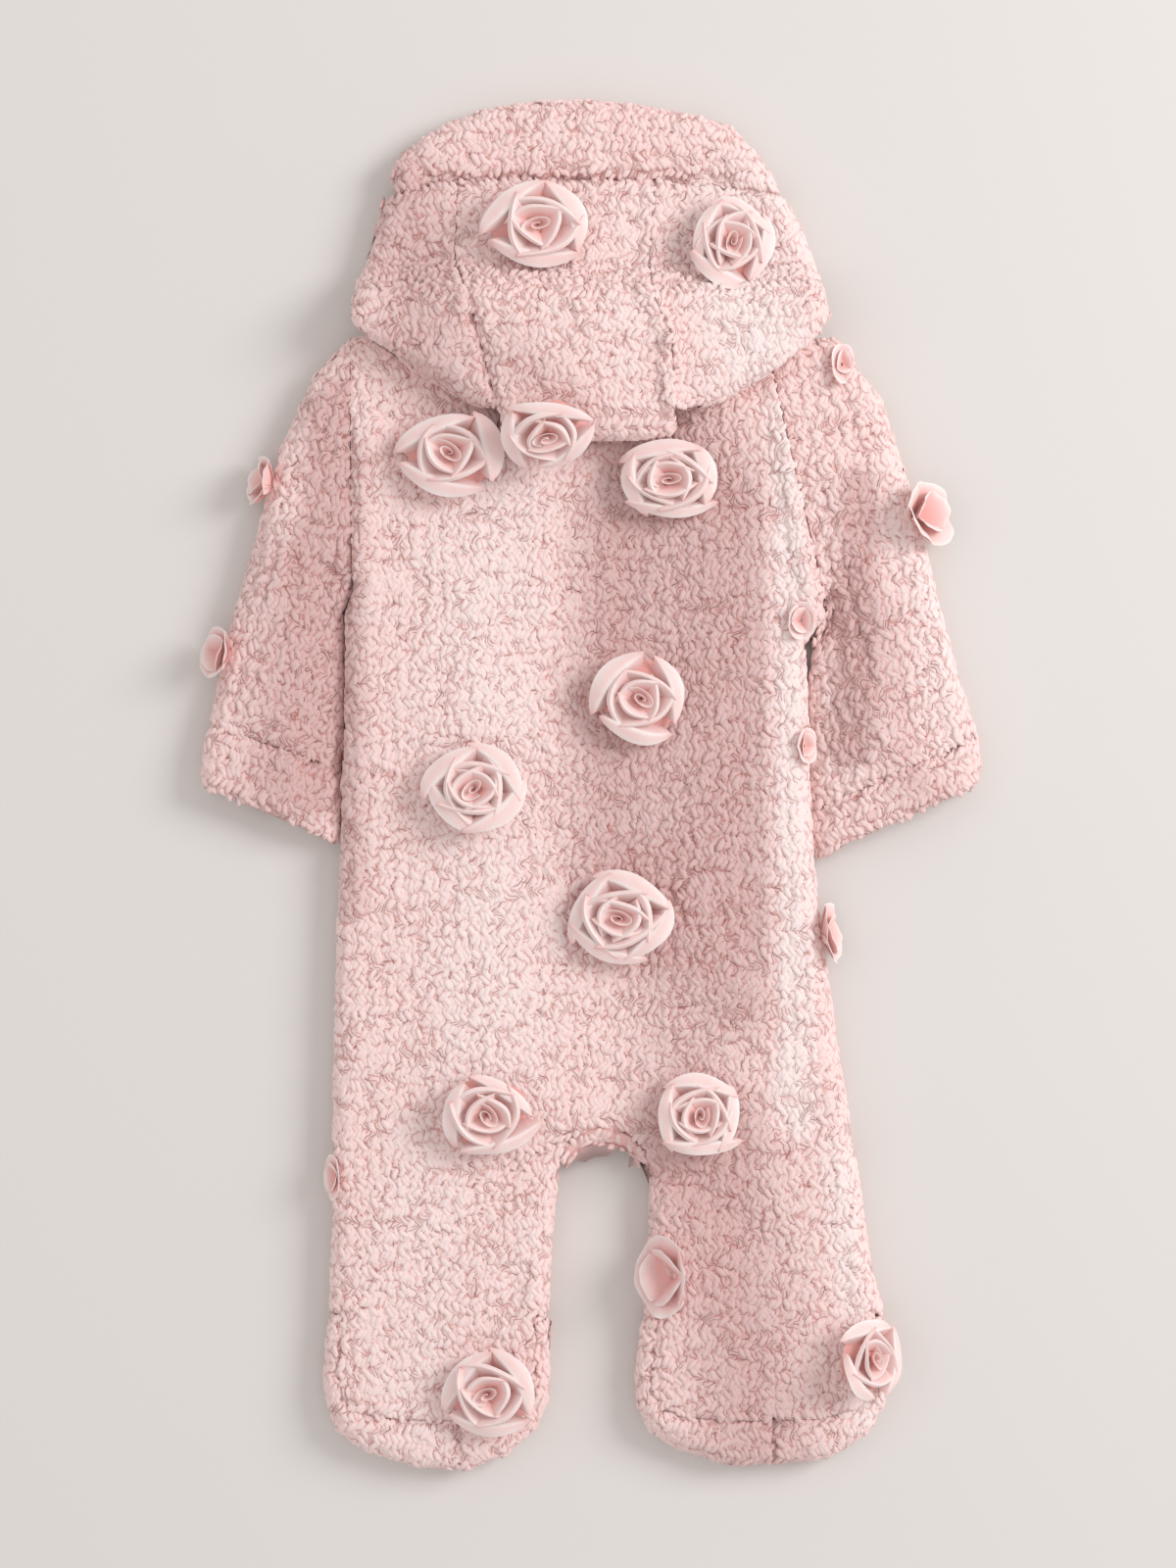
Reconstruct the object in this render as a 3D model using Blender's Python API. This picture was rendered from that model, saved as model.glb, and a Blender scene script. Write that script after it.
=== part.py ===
"""A baby's hooded, footed pramsuit in thick teddy fleece with chiffon roses, lying flat and face down.

The frame is in metres with +Z up. The surface it lies on is z = 0, the hood points along +Y and the
feet along -Y, so the garment's back faces up. The sizes and tables below are in millimetres.

Every fleece piece is a wall of one thickness. The flat garment is two such layers that meet at
folded edges, and each piece is a patch of the upper layer, of the lower one, or of both.
"""

import math
from collections import namedtuple

import bmesh
import bpy
from mathutils import Matrix, Vector

NAME = "pramsuit"
MM = 0.001


def table(columns, *rows):
    """Rows of numbers with named columns."""
    row_type = namedtuple("Row", columns)
    return [row_type(*row) for row in rows]


# The fleece
WALL = 7.5  # one layer of fleece with its pile
AIR = 3.5  # left between two layers that lie on each other
THICK = 2 * WALL + AIR
MID = THICK / 2  # height of the side seams
ROUND = 11.0  # how far in from a folded edge the rounding reaches
SEAM = 0.3  # gap between two pieces at a seam
TURNS = (0, 45, 90)  # degrees round a folded edge at which a section has points
CURL = tuple(ROUND * (1 - math.cos(math.radians(turn))) for turn in TURNS)

# The body in plan, as it lies. The right side is pulled a little askew, as the garment was laid.
LEFT_SHOULDER = (-122.0, 229.0)
RIGHT_SHOULDER = (88.0, 229.0)
NECK_HALF = 48.0
NECK_SIDE_Y = 243.0
BACK_NECK_Y = 235.0
FRONT_NECK_Y = 228.0
LEFT_SIDE = table(
    "y x",
    (101.0, -121.2),
    (88.0, -125.0),
    (26.0, -126.0),
    (-24.0, -127.5),
    (-99.0, -130.0),
    (-174.0, -132.0),
    (-224.0, -131.0),
    (-268.0, -133.5),
    (-299.0, -136.0),
)
RIGHT_SIDE = table(
    "y x",
    (92.0, 120.0),
    (86.0, 120.4),
    (72.0, 110.0),
    (51.0, 111.5),
    (1.0, 113.0),
    (-39.0, 115.0),
    (-74.0, 118.0),
    (-99.0, 122.0),
    (-139.0, 128.0),
    (-174.0, 134.0),
    (-209.0, 139.0),
    (-244.0, 144.0),
    (-268.0, 150.0),
    (-299.0, 153.0),
)
INNER_LEGS = table(
    "y left right",
    (-205.0, -16.0, 30.0),
    (-229.0, -18.5, 30.0),
    (-249.0, -20.0, 29.0),
    (-274.0, -21.0, 26.5),
    (-299.0, -21.0, 24.0),
)
TORSO_ROWS = (200.0, 150.0, 101.0, 92.0, 86.0, 72.0, 30.0, -20.0, -74.0, -120.0, -147.0, -158.0)
LEG_ROWS = (-229.0, -249.0, -268.0)

# The arch between the legs, and the crescent of the gusset above it
ARCH_X = 7.0
ARCH_Y = INNER_LEGS[0].y
ARCH_R = 23.0
GUSSET_DEPTH = 8.0
ARCH_TURNS = (180, 150, 120, 90, 60, 30, 0)

# The feet: each row is a point of the foot's edge and the point of its seam to the leg
ARM_TOP = -270.9
ARM_DEPTH = 8.0  # how far the foot piece wraps over the sides of the ankle
LEFT_FOOT = table(
    "edge_x edge_y seam_x seam_y",
    (-134.5, -316.0, -126.5, -311.0),
    (-129.0, -329.0, -122.0, -317.5),
    (-113.0, -340.0, -110.5, -321.5),
    (-86.0, -347.6, -86.0, -323.5),
    (-62.0, -349.2, -62.5, -323.7),
    (-42.0, -341.5, -44.5, -321.5),
    (-28.0, -328.0, -33.5, -317.0),
    (-21.5, -314.0, -29.3, -310.0),
)
RIGHT_FOOT = table(
    "edge_x edge_y seam_x seam_y",
    (24.0, -316.0, 32.0, -311.0),
    (30.0, -329.0, 37.0, -318.0),
    (47.0, -339.0, 49.5, -321.5),
    (72.0, -347.8, 72.5, -323.8),
    (96.0, -347.0, 96.0, -323.3),
    (122.0, -344.0, 120.5, -322.0),
    (142.0, -331.5, 137.5, -317.0),
    (150.5, -316.0, 143.0, -310.5),
)

# The sleeves: each row runs across from the folded outer edge to the folded inner edge. The fleece
# beside the body is pressed down by the share in the last column.
PRESS_REACH = 30.0
LEFT_SLEEVE = table(
    "outer_x outer_y inner_x inner_y press",
    (-122.4, 229.0, -121.6, 101.0, 0.0),
    (-141.0, 208.0, -127.0, 88.0, 0.2),
    (-157.0, 172.0, -127.2, 70.0, 0.35),
    (-171.5, 122.0, -127.4, 48.0, 0.35),
    (-184.5, 77.0, -127.8, 27.0, 0.35),
    (-194.3, 32.0, -128.3, 8.0, 0.35),
)
LEFT_CUFF = table(
    "outer_x outer_y inner_x inner_y press",
    (-197.6, 13.0, -128.9, -12.0, 0.3),
    (-199.0, 0.0, -129.6, -29.0, 0.2),
)
RIGHT_SLEEVE = table(
    "outer_x outer_y inner_x inner_y press",
    (88.5, 229.4, 120.6, 92.4, 0.0),
    (126.0, 228.0, 121.8, 82.0, 0.2),
    (149.0, 196.0, 118.0, 69.0, 0.35),
    (164.0, 151.0, 115.0, 52.0, 0.35),
    (176.5, 101.0, 114.2, 33.0, 0.35),
    (187.0, 60.0, 115.0, 10.0, 0.35),
    (198.0, 25.0, 116.2, -13.0, 0.35),
)
RIGHT_CUFF = table(
    "outer_x outer_y inner_x inner_y press",
    (199.0, 11.0, 117.0, -25.0, 0.3),
    (197.5, 0.0, 117.8, -37.0, 0.2),
)

# The hood lies on the shoulders and comes down to the floor beyond them
RAMP_TOP_Y = 243.0
RAMP_FOOT_Y = 268.0
HOOD_LEFT_EDGE = table(
    "y x",
    (316.0, -101.0),
    (296.0, -105.0),
    (276.0, -111.0),
    (256.0, -118.5),
    (238.0, -122.5),
    (231.0, -119.0),
    (222.0, -105.0),
    (208.0, -86.0),
    (196.0, -66.0),
    (188.0, -51.0),
    (179.0, -42.0),
)
HOOD_RIGHT_EDGE = table(
    "y x",
    (321.0, 86.5),
    (301.0, 99.0),
    (281.0, 109.0),
    (256.0, 118.0),
    (238.0, 121.5),
    (229.0, 117.0),
    (213.0, 99.0),
    (196.0, 69.0),
    (186.0, 50.0),
    (177.0, 41.0),
)
HOOD_BOTTOM = table("x y", (-31.0, 176.0), (-1.0, 174.5), (28.0, 175.0))
HOOD_TOP = table(
    "x y",
    (71.5, 336.0),
    (49.0, 343.0),
    (19.0, 348.0),
    (-1.0, 349.2),
    (-21.0, 349.2),
    (-51.0, 346.0),
    (-72.0, 339.0),
    (-86.0, 331.0),
    (-96.0, 323.0),
)
BRIM_SEAM_Y = 308.5
BRIM_LEFT = (-104.3, 299.3)
BRIM_RIGHT = (99.9, 299.0)
CENTRE_PANEL = table(
    "y left right",
    (BRIM_SEAM_Y, -67.5, 33.0),
    (266.0, -68.5, 30.0),
    (246.0, -61.0, 31.5),
    (226.0, -55.9, 41.0),
    (170.0, -41.7, 43.9),
)
NAPE_Y = 232.0
SIDE_PANEL_ROWS = (286.0, 266.0, 246.0, 236.0, 226.0, 206.0, 190.8)
FACE_EDGE = table("y left right", (299.0, -97.0, 92.0), (246.0, -15.0, 15.0))

# The hem round the face, from the hood's left corner to its right one
BRIM = table(
    "edge_x edge_y seam_x seam_y",
    (-102.5, 308.5, -101.0, 300.1),
    (-96.0, 323.0, -90.0, 302.9),
    (-86.0, 331.0, -80.0, 305.4),
    (-72.0, 339.0, -67.5, BRIM_SEAM_Y),
    (-51.0, 346.0, -50.0, BRIM_SEAM_Y),
    (-21.0, 349.2, -21.0, BRIM_SEAM_Y),
    (-1.0, 349.2, -1.0, BRIM_SEAM_Y),
    (19.0, 348.0, 17.0, BRIM_SEAM_Y),
    (49.0, 343.0, 33.0, BRIM_SEAM_Y),
    (71.5, 336.0, 56.0, 305.2),
    (86.5, 321.0, 78.0, 302.1),
    (96.5, 305.0, 95.0, 299.7),
)

# Soft folds: a line, how far it reaches to each side, and how much it lifts the upper layer
FOLDS = table(
    "on x0 y0 x1 y1 reach lift",
    ("body", -13.0, -184.0, -84.0, -246.0, 14.0, -2.5),
    ("body", 34.0, -190.0, 92.0, -236.0, 15.0, -1.8),
    ("body", -48.0, 140.0, -22.0, -40.0, 26.0, -1.6),
    ("body", -118.0, 96.0, -112.0, 190.0, 7.0, 1.6),
    ("body", 112.0, 96.0, 93.0, 205.0, 7.0, 2.4),
    ("hood", -69.0, 276.0, -64.0, 244.0, 9.0, 3.0),
    ("hood", -61.0, 244.0, -46.0, 190.0, 6.0, -2.4),
    ("hood", 32.0, 300.0, 29.0, 250.0, 7.0, 2.2),
    ("hood", 29.0, 250.0, 41.0, 224.0, 7.0, 3.2),
    ("hood", 41.0, 224.0, 42.0, 188.0, 7.0, 3.6),
    ("hood", -88.0, BRIM_SEAM_Y, 72.0, BRIM_SEAM_Y, 6.0, -2.4),
    ("sleeve", -150.0, 160.0, -170.0, 40.0, 14.0, 1.8),
    ("sleeve", 122.0, 160.0, 150.0, 20.0, 16.0, 2.4),
)

# The roses: where each is sewn on, its size, its height, its lean and its turn
ROSES = table(
    "on x y wide deep tall lean toward spin",
    ("hood", -27.0, 284.0, 52.0, 42.0, 18.0, 6.0, 300.0, 20.0),
    ("hood", 70.0, 274.0, 42.0, 44.0, 18.0, 8.0, 20.0, 75.0),
    ("hood", -21.0, 180.5, 46.0, 36.0, 17.0, 0.0, 0.0, 200.0),
    ("body", -69.5, 168.0, 54.0, 40.0, 18.0, 6.0, 180.0, 130.0),
    ("body", 40.5, 152.0, 50.0, 38.0, 18.0, 6.0, 250.0, 10.0),
    ("body", 25.5, 45.0, 46.0, 43.0, 18.0, 5.0, 300.0, 250.0),
    ("body", -58.0, -3.0, 48.0, 42.0, 18.0, 6.0, 120.0, 50.0),
    ("body", 16.0, -67.0, 50.0, 43.0, 18.0, 5.0, 200.0, 160.0),
    ("body", -53.0, -165.0, 48.0, 40.0, 18.0, 8.0, 300.0, 300.0),
    ("body", 55.0, -168.0, 43.0, 39.0, 18.0, 6.0, 60.0, 90.0),
    ("body", -50.0, -307.0, 48.0, 42.0, 17.0, 8.0, 200.0, 30.0),
    ("body", 42.5, -249.0, 34.0, 40.0, 16.0, 40.0, 180.0, 270.0),
    ("body", 138.0, -291.0, 34.0, 38.0, 16.0, 30.0, 10.0, 110.0),
    ("sleeve", 165.5, 137.0, 34.0, 32.0, 16.0, 0.0, 0.0, 220.0),
    ("body", 117.9, -76.0, 22.0, 30.0, 10.0, 0.0, 0.0, 60.0),
    ("body", 108.5, 20.0, 12.0, 18.0, 5.0, 0.0, 0.0, 140.0),
    ("body", 107.0, 84.0, 14.0, 18.0, 6.0, 0.0, 0.0, 330.0),
    ("sleeve", -162.0, 153.0, 24.0, 26.0, 13.0, 0.0, 0.0, 15.0),
    ("sleeve", -185.2, 66.0, 24.0, 28.0, 12.0, 0.0, 0.0, 190.0),
    ("sleeve", 128.0, 214.0, 12.0, 20.0, 5.0, 0.0, 0.0, 240.0),
    ("body", -129.0, -199.0, 12.0, 22.0, 5.0, 0.0, 0.0, 280.0),
)
ROSE_SEGMENTS = 12
ROSE_LOBES = 4
ROSE_RINGS = table(
    "radius height lobe turn",
    (0.34, 0.0, 0.0, 0.0),
    (1.0, 0.42, 0.10, 0.0),
    (0.74, 0.60, 0.08, 35.0),
    (0.60, 0.90, 0.08, 60.0),
    (0.22, 1.0, 0.0, 0.0),
)
ROSE_DIP = 0.8  # height of the middle of the bud, as a share of the rose's height
ROSE_CLEAR = 0.6  # gap under a petal that is pressed on the fleece

# The zip at the centre front: its trough, tape, coil, slider and pull tab
ZIP_X = 2.0
ZIP_TROUGH = 7.0
ZIP_TOP_Y = 226.0
ZIP_END_Y = -152.0  # where the trough closes
TAPE_END_Y = -164.0
TAPE_HALF = 14.0
TAPE_THICK = 1.0
COIL_HALF = 2.4
COIL_Z = 5.6
SLIDER_HALF = 4.5
SLIDER_Y = (205.0, 219.5)
SLIDER_Z = (4.05, 5.3)
BRIDGE_HALF = 0.8
BRIDGE_Y = (207.5, 217.5)
BRIDGE_Z = (0.8, 1.95)
POST = 1.5
PULL_AXIS_Y = 214.0
PULL_AXIS_Z = 3.0
PULL_LENGTH = 24.0
PULL_HALF = 3.2
PULL_THICK = 1.2
EYE_HALF = 1.35
BAR_RADIUS = 0.65
EYE_LENGTH = 7.6  # longer than the bridge's far corner is from the axis

FLEECE_PINK = (0.85, 0.60, 0.58)
HEM_PINK = (0.82, 0.56, 0.54)
CHIFFON_PINK = (0.86, 0.58, 0.56)
TAPE_PINK = (0.80, 0.55, 0.54)
METAL_PINK = (0.78, 0.52, 0.50)


def clear_scene():
    for old in list(bpy.data.objects):
        bpy.data.objects.remove(old, do_unlink=True)


def material(name, colour, roughness, metallic=0.0):
    made = bpy.data.materials.new(name)
    made.use_nodes = True
    shader = made.node_tree.nodes["Principled BSDF"]
    shader.inputs["Base Color"].default_value = (*colour, 1.0)
    shader.inputs["Roughness"].default_value = roughness
    shader.inputs["Metallic"].default_value = metallic
    return made


def lerp(a, b, share):
    return tuple(p + (q - p) * share for p, q in zip(a, b))


def smooth(share):
    share = min(1.0, max(0.0, share))
    return share * share * (3 - 2 * share)


def along(rows, y, column="x"):
    """The column's value at y, in a table whose rows run down from the highest y."""
    for upper, lower in zip(rows, rows[1:]):
        if y >= lower.y:
            share = (y - upper.y) / (lower.y - upper.y)
            return getattr(upper, column) + (getattr(lower, column) - getattr(upper, column)) * share
    return getattr(rows[-1], column)


def nearest(lines, x, y):
    """(distance, way in) from the nearest folded edge. Each line has its cloth on the left."""
    found = []
    for line in lines:
        for (ax, ay), (bx, by) in zip(line, line[1:]):
            dx, dy = bx - ax, by - ay
            length = math.hypot(dx, dy)
            share = min(1.0, max(0.0, ((x - ax) * dx + (y - ay) * dy) / length**2))
            away = (x - ax - share * dx, y - ay - share * dy)
            found.append((math.hypot(*away), away, (-dy / length, dx / length)))
    distance = min(item[0] for item in found)
    if distance > 0.05:
        away = min(found)[1]
        return distance, (away[0] / distance, away[1] / distance)
    ways = [way for gap, _, way in found if gap < distance + 0.01]
    way = [sum(parts) for parts in zip(*ways)]
    size = math.hypot(*way)
    return distance, (way[0] / size, way[1] / size)


def fold_lift(on, x, y):
    """How much the folds of one part of the garment lift the upper layer at a point."""
    lift = 0.0
    for fold in FOLDS:
        if fold.on != on:
            continue
        dx, dy = fold.x1 - fold.x0, fold.y1 - fold.y0
        share = ((x - fold.x0) * dx + (y - fold.y0) * dy) / (dx * dx + dy * dy)
        share = min(1.0, max(0.0, share))
        away = math.hypot(x - fold.x0 - share * dx, y - fold.y0 - share * dy)
        lift += fold.lift * smooth(1 - away / fold.reach)
    return lift


def hood_base(y):
    """Height of what the hood lies on: the body's back, then the floor beyond the shoulders."""
    return (THICK + SEAM) * smooth((RAMP_FOOT_Y - y) / (RAMP_FOOT_Y - RAMP_TOP_Y))


class Part:
    """One flat part of the garment: its folded edges, and the two layers between them."""

    def __init__(self, kind, lines, base=None, pressed=None):
        self.kind = kind
        self.lines = lines
        self.base = base or (lambda y: 0.0)
        self.pressed = pressed

    def layer(self, x, y, side, gap=0.0, press=0.0, row=None):
        """(outer point, inner point, outward normal) on the upper (1) or the lower (-1) layer.

        Where row is a direction in plan, the wall leans only along it, so that a seam's rim stays
        in the upright plane of its row."""
        distance, way = nearest(self.lines, x, y)
        if row:
            lean = way[0] * row[0] + way[1] * row[1]
            way = (row[0] * lean, row[1] * lean)
        flat = max(0.0, 1 - distance / ROUND)
        rise = math.sqrt(1 - flat * flat)
        half = MID - gap
        normal = Vector((-way[0] * half * flat, -way[1] * half * flat, side * ROUND * rise))
        normal.normalize()
        outer = Vector((x, y, MID + side * (gap + half * rise)))
        inner = outer - WALL * normal
        lift = self.base(y)
        if side > 0:
            lift += fold_lift(self.kind, x, y) * rise
        squash = 1.0
        if self.pressed and press:
            squash = 1 - press * smooth(1 - nearest(self.pressed, x, y)[0] / PRESS_REACH)
        for point in (outer, inner):
            point.z = point.z * squash + lift
        return outer, inner, normal


def thicken(name, points, cells, coat, smooth_faces=True):
    """A closed wall: points maps a key to its outer and inner point, cells are quads of keys."""
    keys = list(dict.fromkeys(key for cell in cells for key in cell))
    mesh = bmesh.new()
    outer = {key: mesh.verts.new(points[key][0] * MM) for key in keys}
    inner = {key: mesh.verts.new(points[key][1] * MM) for key in keys}
    edges = {(a, b) for cell in cells for a, b in zip(cell, cell[1:] + cell[:1])}
    for cell in cells:
        mesh.faces.new([outer[key] for key in cell])
        mesh.faces.new([inner[key] for key in reversed(cell)])
    for a, b in sorted(edges):
        if (b, a) in edges:
            continue
        # The rim is split the same way on both sides of a seam, so that the two stay parallel.
        ends = [points[key][0] for key in (a, b)]
        if 3 * ends[0].x + ends[0].y < 3 * ends[1].x + ends[1].y:
            mesh.faces.new((outer[b], outer[a], inner[b]))
            mesh.faces.new((outer[a], inner[a], inner[b]))
        else:
            mesh.faces.new((outer[b], outer[a], inner[a]))
            mesh.faces.new((outer[b], inner[a], inner[b]))
    return add_mesh(name, mesh, coat, smooth_faces)


def add_mesh(name, mesh, coat, smooth_faces=True):
    bmesh.ops.recalc_face_normals(mesh, faces=mesh.faces)
    data = bpy.data.meshes.new(name)
    mesh.to_mesh(data)
    mesh.free()
    data.materials.append(coat)
    if smooth_faces:
        data.shade_smooth()
    made = bpy.data.objects.new(name, data)
    bpy.data.collections[NAME].objects.link(made)
    return made


def spread(start, end, count):
    """Points between two ends, which are left out."""
    return [start + (end - start) * (i + 1) / (count + 1) for i in range(count)]


def across(left, right, inset=0.0):
    """Columns of one leg or half: rounded at both edges, with two points between."""
    near = [inset + (ROUND - inset) * c / ROUND for c in CURL] if inset else list(CURL)
    return (
        [left + c for c in near]
        + spread(left + ROUND, right - ROUND, 2)
        + [right - c for c in reversed(near)]
    )


BLOCK = 2 * len(TURNS) + 2  # columns of one leg
ARCH_COLUMNS = len(ARCH_TURNS) - 2
LAST = 2 * BLOCK + ARCH_COLUMNS - 1
MIDDLE = LAST // 2


def left_x(y):
    if y <= LEFT_SIDE[0].y:
        return along(LEFT_SIDE, y)
    share = (y - LEFT_SIDE[0].y) / (LEFT_SHOULDER[1] - LEFT_SIDE[0].y)
    return LEFT_SIDE[0].x + (LEFT_SHOULDER[0] - LEFT_SIDE[0].x) * share


def right_x(y):
    if y <= RIGHT_SIDE[0].y:
        return along(RIGHT_SIDE, y)
    share = (y - RIGHT_SIDE[0].y) / (RIGHT_SHOULDER[1] - RIGHT_SIDE[0].y)
    return RIGHT_SIDE[0].x + (RIGHT_SHOULDER[0] - RIGHT_SIDE[0].x) * share


def top_y(x, neck_y):
    """The shoulder seams and the neck edge between them."""
    if x < -NECK_HALF:
        share = (x - LEFT_SHOULDER[0]) / (-NECK_HALF - LEFT_SHOULDER[0])
        return LEFT_SHOULDER[1] + (NECK_SIDE_Y - LEFT_SHOULDER[1]) * share
    if x > NECK_HALF:
        share = (RIGHT_SHOULDER[0] - x) / (RIGHT_SHOULDER[0] - NECK_HALF)
        return RIGHT_SHOULDER[1] + (NECK_SIDE_Y - RIGHT_SHOULDER[1]) * share
    return neck_y + (NECK_SIDE_Y - neck_y) * (x / NECK_HALF) ** 2


def arch_point(turn, depth, clear=0.0):
    """A point round the arch, moved up into the cloth by a depth that fades towards both ends."""
    angle = math.radians(turn)
    radius = ARCH_R + depth * math.sin(angle) ** 2 + clear
    return (ARCH_X + radius * math.cos(angle), ARCH_Y + radius * math.sin(angle))


def body_edges():
    """The folded edges of the body: both shoulders, and the line from underarm to underarm."""
    shoulders = [
        [(-NECK_HALF, NECK_SIDE_Y), LEFT_SHOULDER],
        [RIGHT_SHOULDER, (NECK_HALF, NECK_SIDE_Y)],
    ]
    line = [(row.x, row.y) for row in LEFT_SIDE]
    line += [(row.edge_x, row.edge_y) for row in LEFT_FOOT]
    line += [(row.left, row.y) for row in reversed(INNER_LEGS)]
    line += [arch_point(turn, 0) for turn in ARCH_TURNS[1:-1]]
    line += [(row.right, row.y) for row in INNER_LEGS]
    line += [(row.edge_x, row.edge_y) for row in RIGHT_FOOT]
    line += [(row.x, row.y) for row in reversed(RIGHT_SIDE)]
    return shoulders + [line]


def middle_columns(piece, y):
    """The columns between the legs' inner edges, which in the fronts stop at the zip."""
    left, right = INNER_LEGS[0].left, INNER_LEGS[0].right
    half = ZIP_TROUGH if y > ZIP_END_Y else SEAM / 2
    count = ARCH_COLUMNS // 2
    if piece == "front_left":
        return spread(left, ZIP_X - half, count) + [ZIP_X - half] + [None] * count
    if piece == "front_right":
        return [None] * count + [ZIP_X + half] + spread(ZIP_X + half, right, count)
    return spread(left, right, ARCH_COLUMNS)


def torso_row(piece, y):
    left, right = INNER_LEGS[0].left, INNER_LEGS[0].right
    return across(left_x(y), left) + middle_columns(piece, y) + across(right, right_x(y))


def seam_point(row):
    """A point of the leg's edge at the foot seam, just clear of the foot piece."""
    way = Vector((row.seam_x - row.edge_x, row.seam_y - row.edge_y)).normalized()
    return (row.seam_x + way.x * SEAM, row.seam_y + way.y * SEAM)


def body_plan(piece):
    """The plan points of one panel of the body, by row and column, and the row of the arch."""
    neck_y = BACK_NECK_Y if piece == "back" else FRONT_NECK_Y
    rows = []
    for drop in CURL:
        columns = torso_row(piece, LEFT_SHOULDER[1] - drop)
        rows.append([x if x is None else (x, top_y(x, neck_y) - drop) for x in columns])
    for y in TORSO_ROWS:
        rows.append([x if x is None else (x, y) for x in torso_row(piece, y)])
    arch = [arch_point(turn, GUSSET_DEPTH, 2 * SEAM) for turn in ARCH_TURNS]
    sides = torso_row(piece, ARCH_Y)
    low = [(x, ARCH_Y) for x in sides[:BLOCK]] + arch[1:-1] + [(x, ARCH_Y) for x in sides[-BLOCK:]]
    shift = {"front_left": -SEAM / 2, "front_right": SEAM / 2}.get(piece, 0.0)
    low[MIDDLE] = (low[MIDDLE][0] + shift, low[MIDDLE][1])
    above = rows[-1]
    between = [a if a is None else lerp(a, b, 0.55) for a, b in zip(above, low)]
    rows += [between, low]
    arch_row = len(rows) - 1
    for y in LEG_ROWS:
        left = across(left_x(y), along(INNER_LEGS, y, "left"))
        right = across(along(INNER_LEGS, y, "right"), right_x(y))
        rows.append([(x, y) for x in left] + [None] * ARCH_COLUMNS + [(x, y) for x in right])
    for y in (ARM_TOP + SEAM, LEFT_SIDE[-1].y):
        inset = ARM_DEPTH + SEAM
        left = across(left_x(y), along(INNER_LEGS, y, "left"), inset)
        right = across(along(INNER_LEGS, y, "right"), right_x(y), inset)
        rows.append([(x, y) for x in left] + [None] * ARCH_COLUMNS + [(x, y) for x in right])
    feet = [seam_point(row) for row in LEFT_FOOT], [seam_point(row) for row in RIGHT_FOOT]
    rows.append(feet[0] + [None] * ARCH_COLUMNS + feet[1])
    return rows, arch_row


def body_panel(piece, side, first, last, body, coat):
    rows, arch_row = body_plan(piece)
    points = {}
    for r, row in enumerate(rows):
        for c in range(first, last + 1):
            if row[c] is not None:
                points[r, c] = body.layer(*row[c], side, SEAM / 2)[:2]
    cells = []
    for r in range(len(rows) - 1):
        for c in range(first, last):
            over_arch = BLOCK - 1 <= c < BLOCK + ARCH_COLUMNS
            if over_arch and r >= arch_row:
                continue
            cells.append(((r, c), (r + 1, c), (r + 1, c + 1), (r, c + 1)))
    return thicken(piece, points, cells, coat)


def direction(start, end):
    length = math.dist(start, end)
    return ((end[0] - start[0]) / length, (end[1] - start[1]) / length)


def edge_piece(name, stations, part, coat, straight_seam=False):
    """A piece that wraps over a folded edge: each station runs from the edge to the seam in plan."""
    points = {}
    for s, (edge, seam) in enumerate(stations):
        depth = math.dist(edge, seam)
        before, after = stations[max(s - 1, 0)][1], stations[min(s + 1, len(stations) - 1)][1]
        seam_row = direction(before, after) if straight_seam else None
        reach = [c * min(1.0, depth / ROUND) for c in CURL]
        if depth > 1.5 * ROUND:
            reach.append(depth)
        shares = [length / depth for length in reach]
        section = [(share, 1) for share in reversed(shares)] + [(share, -1) for share in shares[1:]]
        for c, (share, side) in enumerate(section):
            row = seam_row if share == shares[-1] else None
            points[s, c] = part.layer(*lerp(edge, seam, share), side, row=row)[:2]
    columns = [max(c for t, c in points if t == s) for s in range(len(stations))]
    cells = []
    for s in range(len(stations) - 1):
        if columns[s] == columns[s + 1]:
            for c in range(columns[s]):
                cells.append(((s, c), (s, c + 1), (s + 1, c + 1), (s + 1, c)))
            continue
        wide, slim = (s, s + 1) if columns[s] > columns[s + 1] else (s + 1, s)
        for c in range(columns[slim]):
            cells.append(((slim, c), (slim, c + 1), (wide, c + 2), (wide, c + 1)))
        cells.append(((slim, 0), (wide, 1), (wide, 0)))
        top = columns[slim]
        cells.append(((slim, top), (wide, top + 2), (wide, top + 1)))
        if wide < slim:
            cells[-top - 2:] = [tuple(reversed(cell)) for cell in cells[-top - 2:]]
    return thicken(name, points, cells, coat)


def foot_stations(foot, outer, inner, first_is_outer):
    """Up one side of the ankle, round the foot, and up the other side."""
    bottom = [((row.edge_x, row.edge_y), (row.seam_x, row.seam_y)) for row in foot]
    arms = []
    for y in (ARM_TOP, LEFT_SIDE[-1].y):
        outer_x, inner_x = outer(y), inner(y)
        way = ARM_DEPTH if inner_x > outer_x else -ARM_DEPTH
        arms.append((((outer_x, y), (outer_x + way, y)), ((inner_x, y), (inner_x - way, y))))
    start, end = (0, 1) if first_is_outer else (1, 0)
    return [arm[start] for arm in arms] + bottom + [arm[end] for arm in reversed(arms)]


def gusset_stations():
    return [(arch_point(turn, 0), arch_point(turn, GUSSET_DEPTH)) for turn in ARCH_TURNS[1:-1]]


def sleeve_part(sleeve, cuff, kind_left):
    outer = [(row.outer_x, row.outer_y) for row in sleeve + cuff]
    inner = [(row.inner_x, row.inner_y) for row in sleeve + cuff]
    lines = [outer, inner[::-1]] if kind_left else [outer[::-1], inner]
    return Part("sleeve", lines, pressed=[inner])


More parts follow.
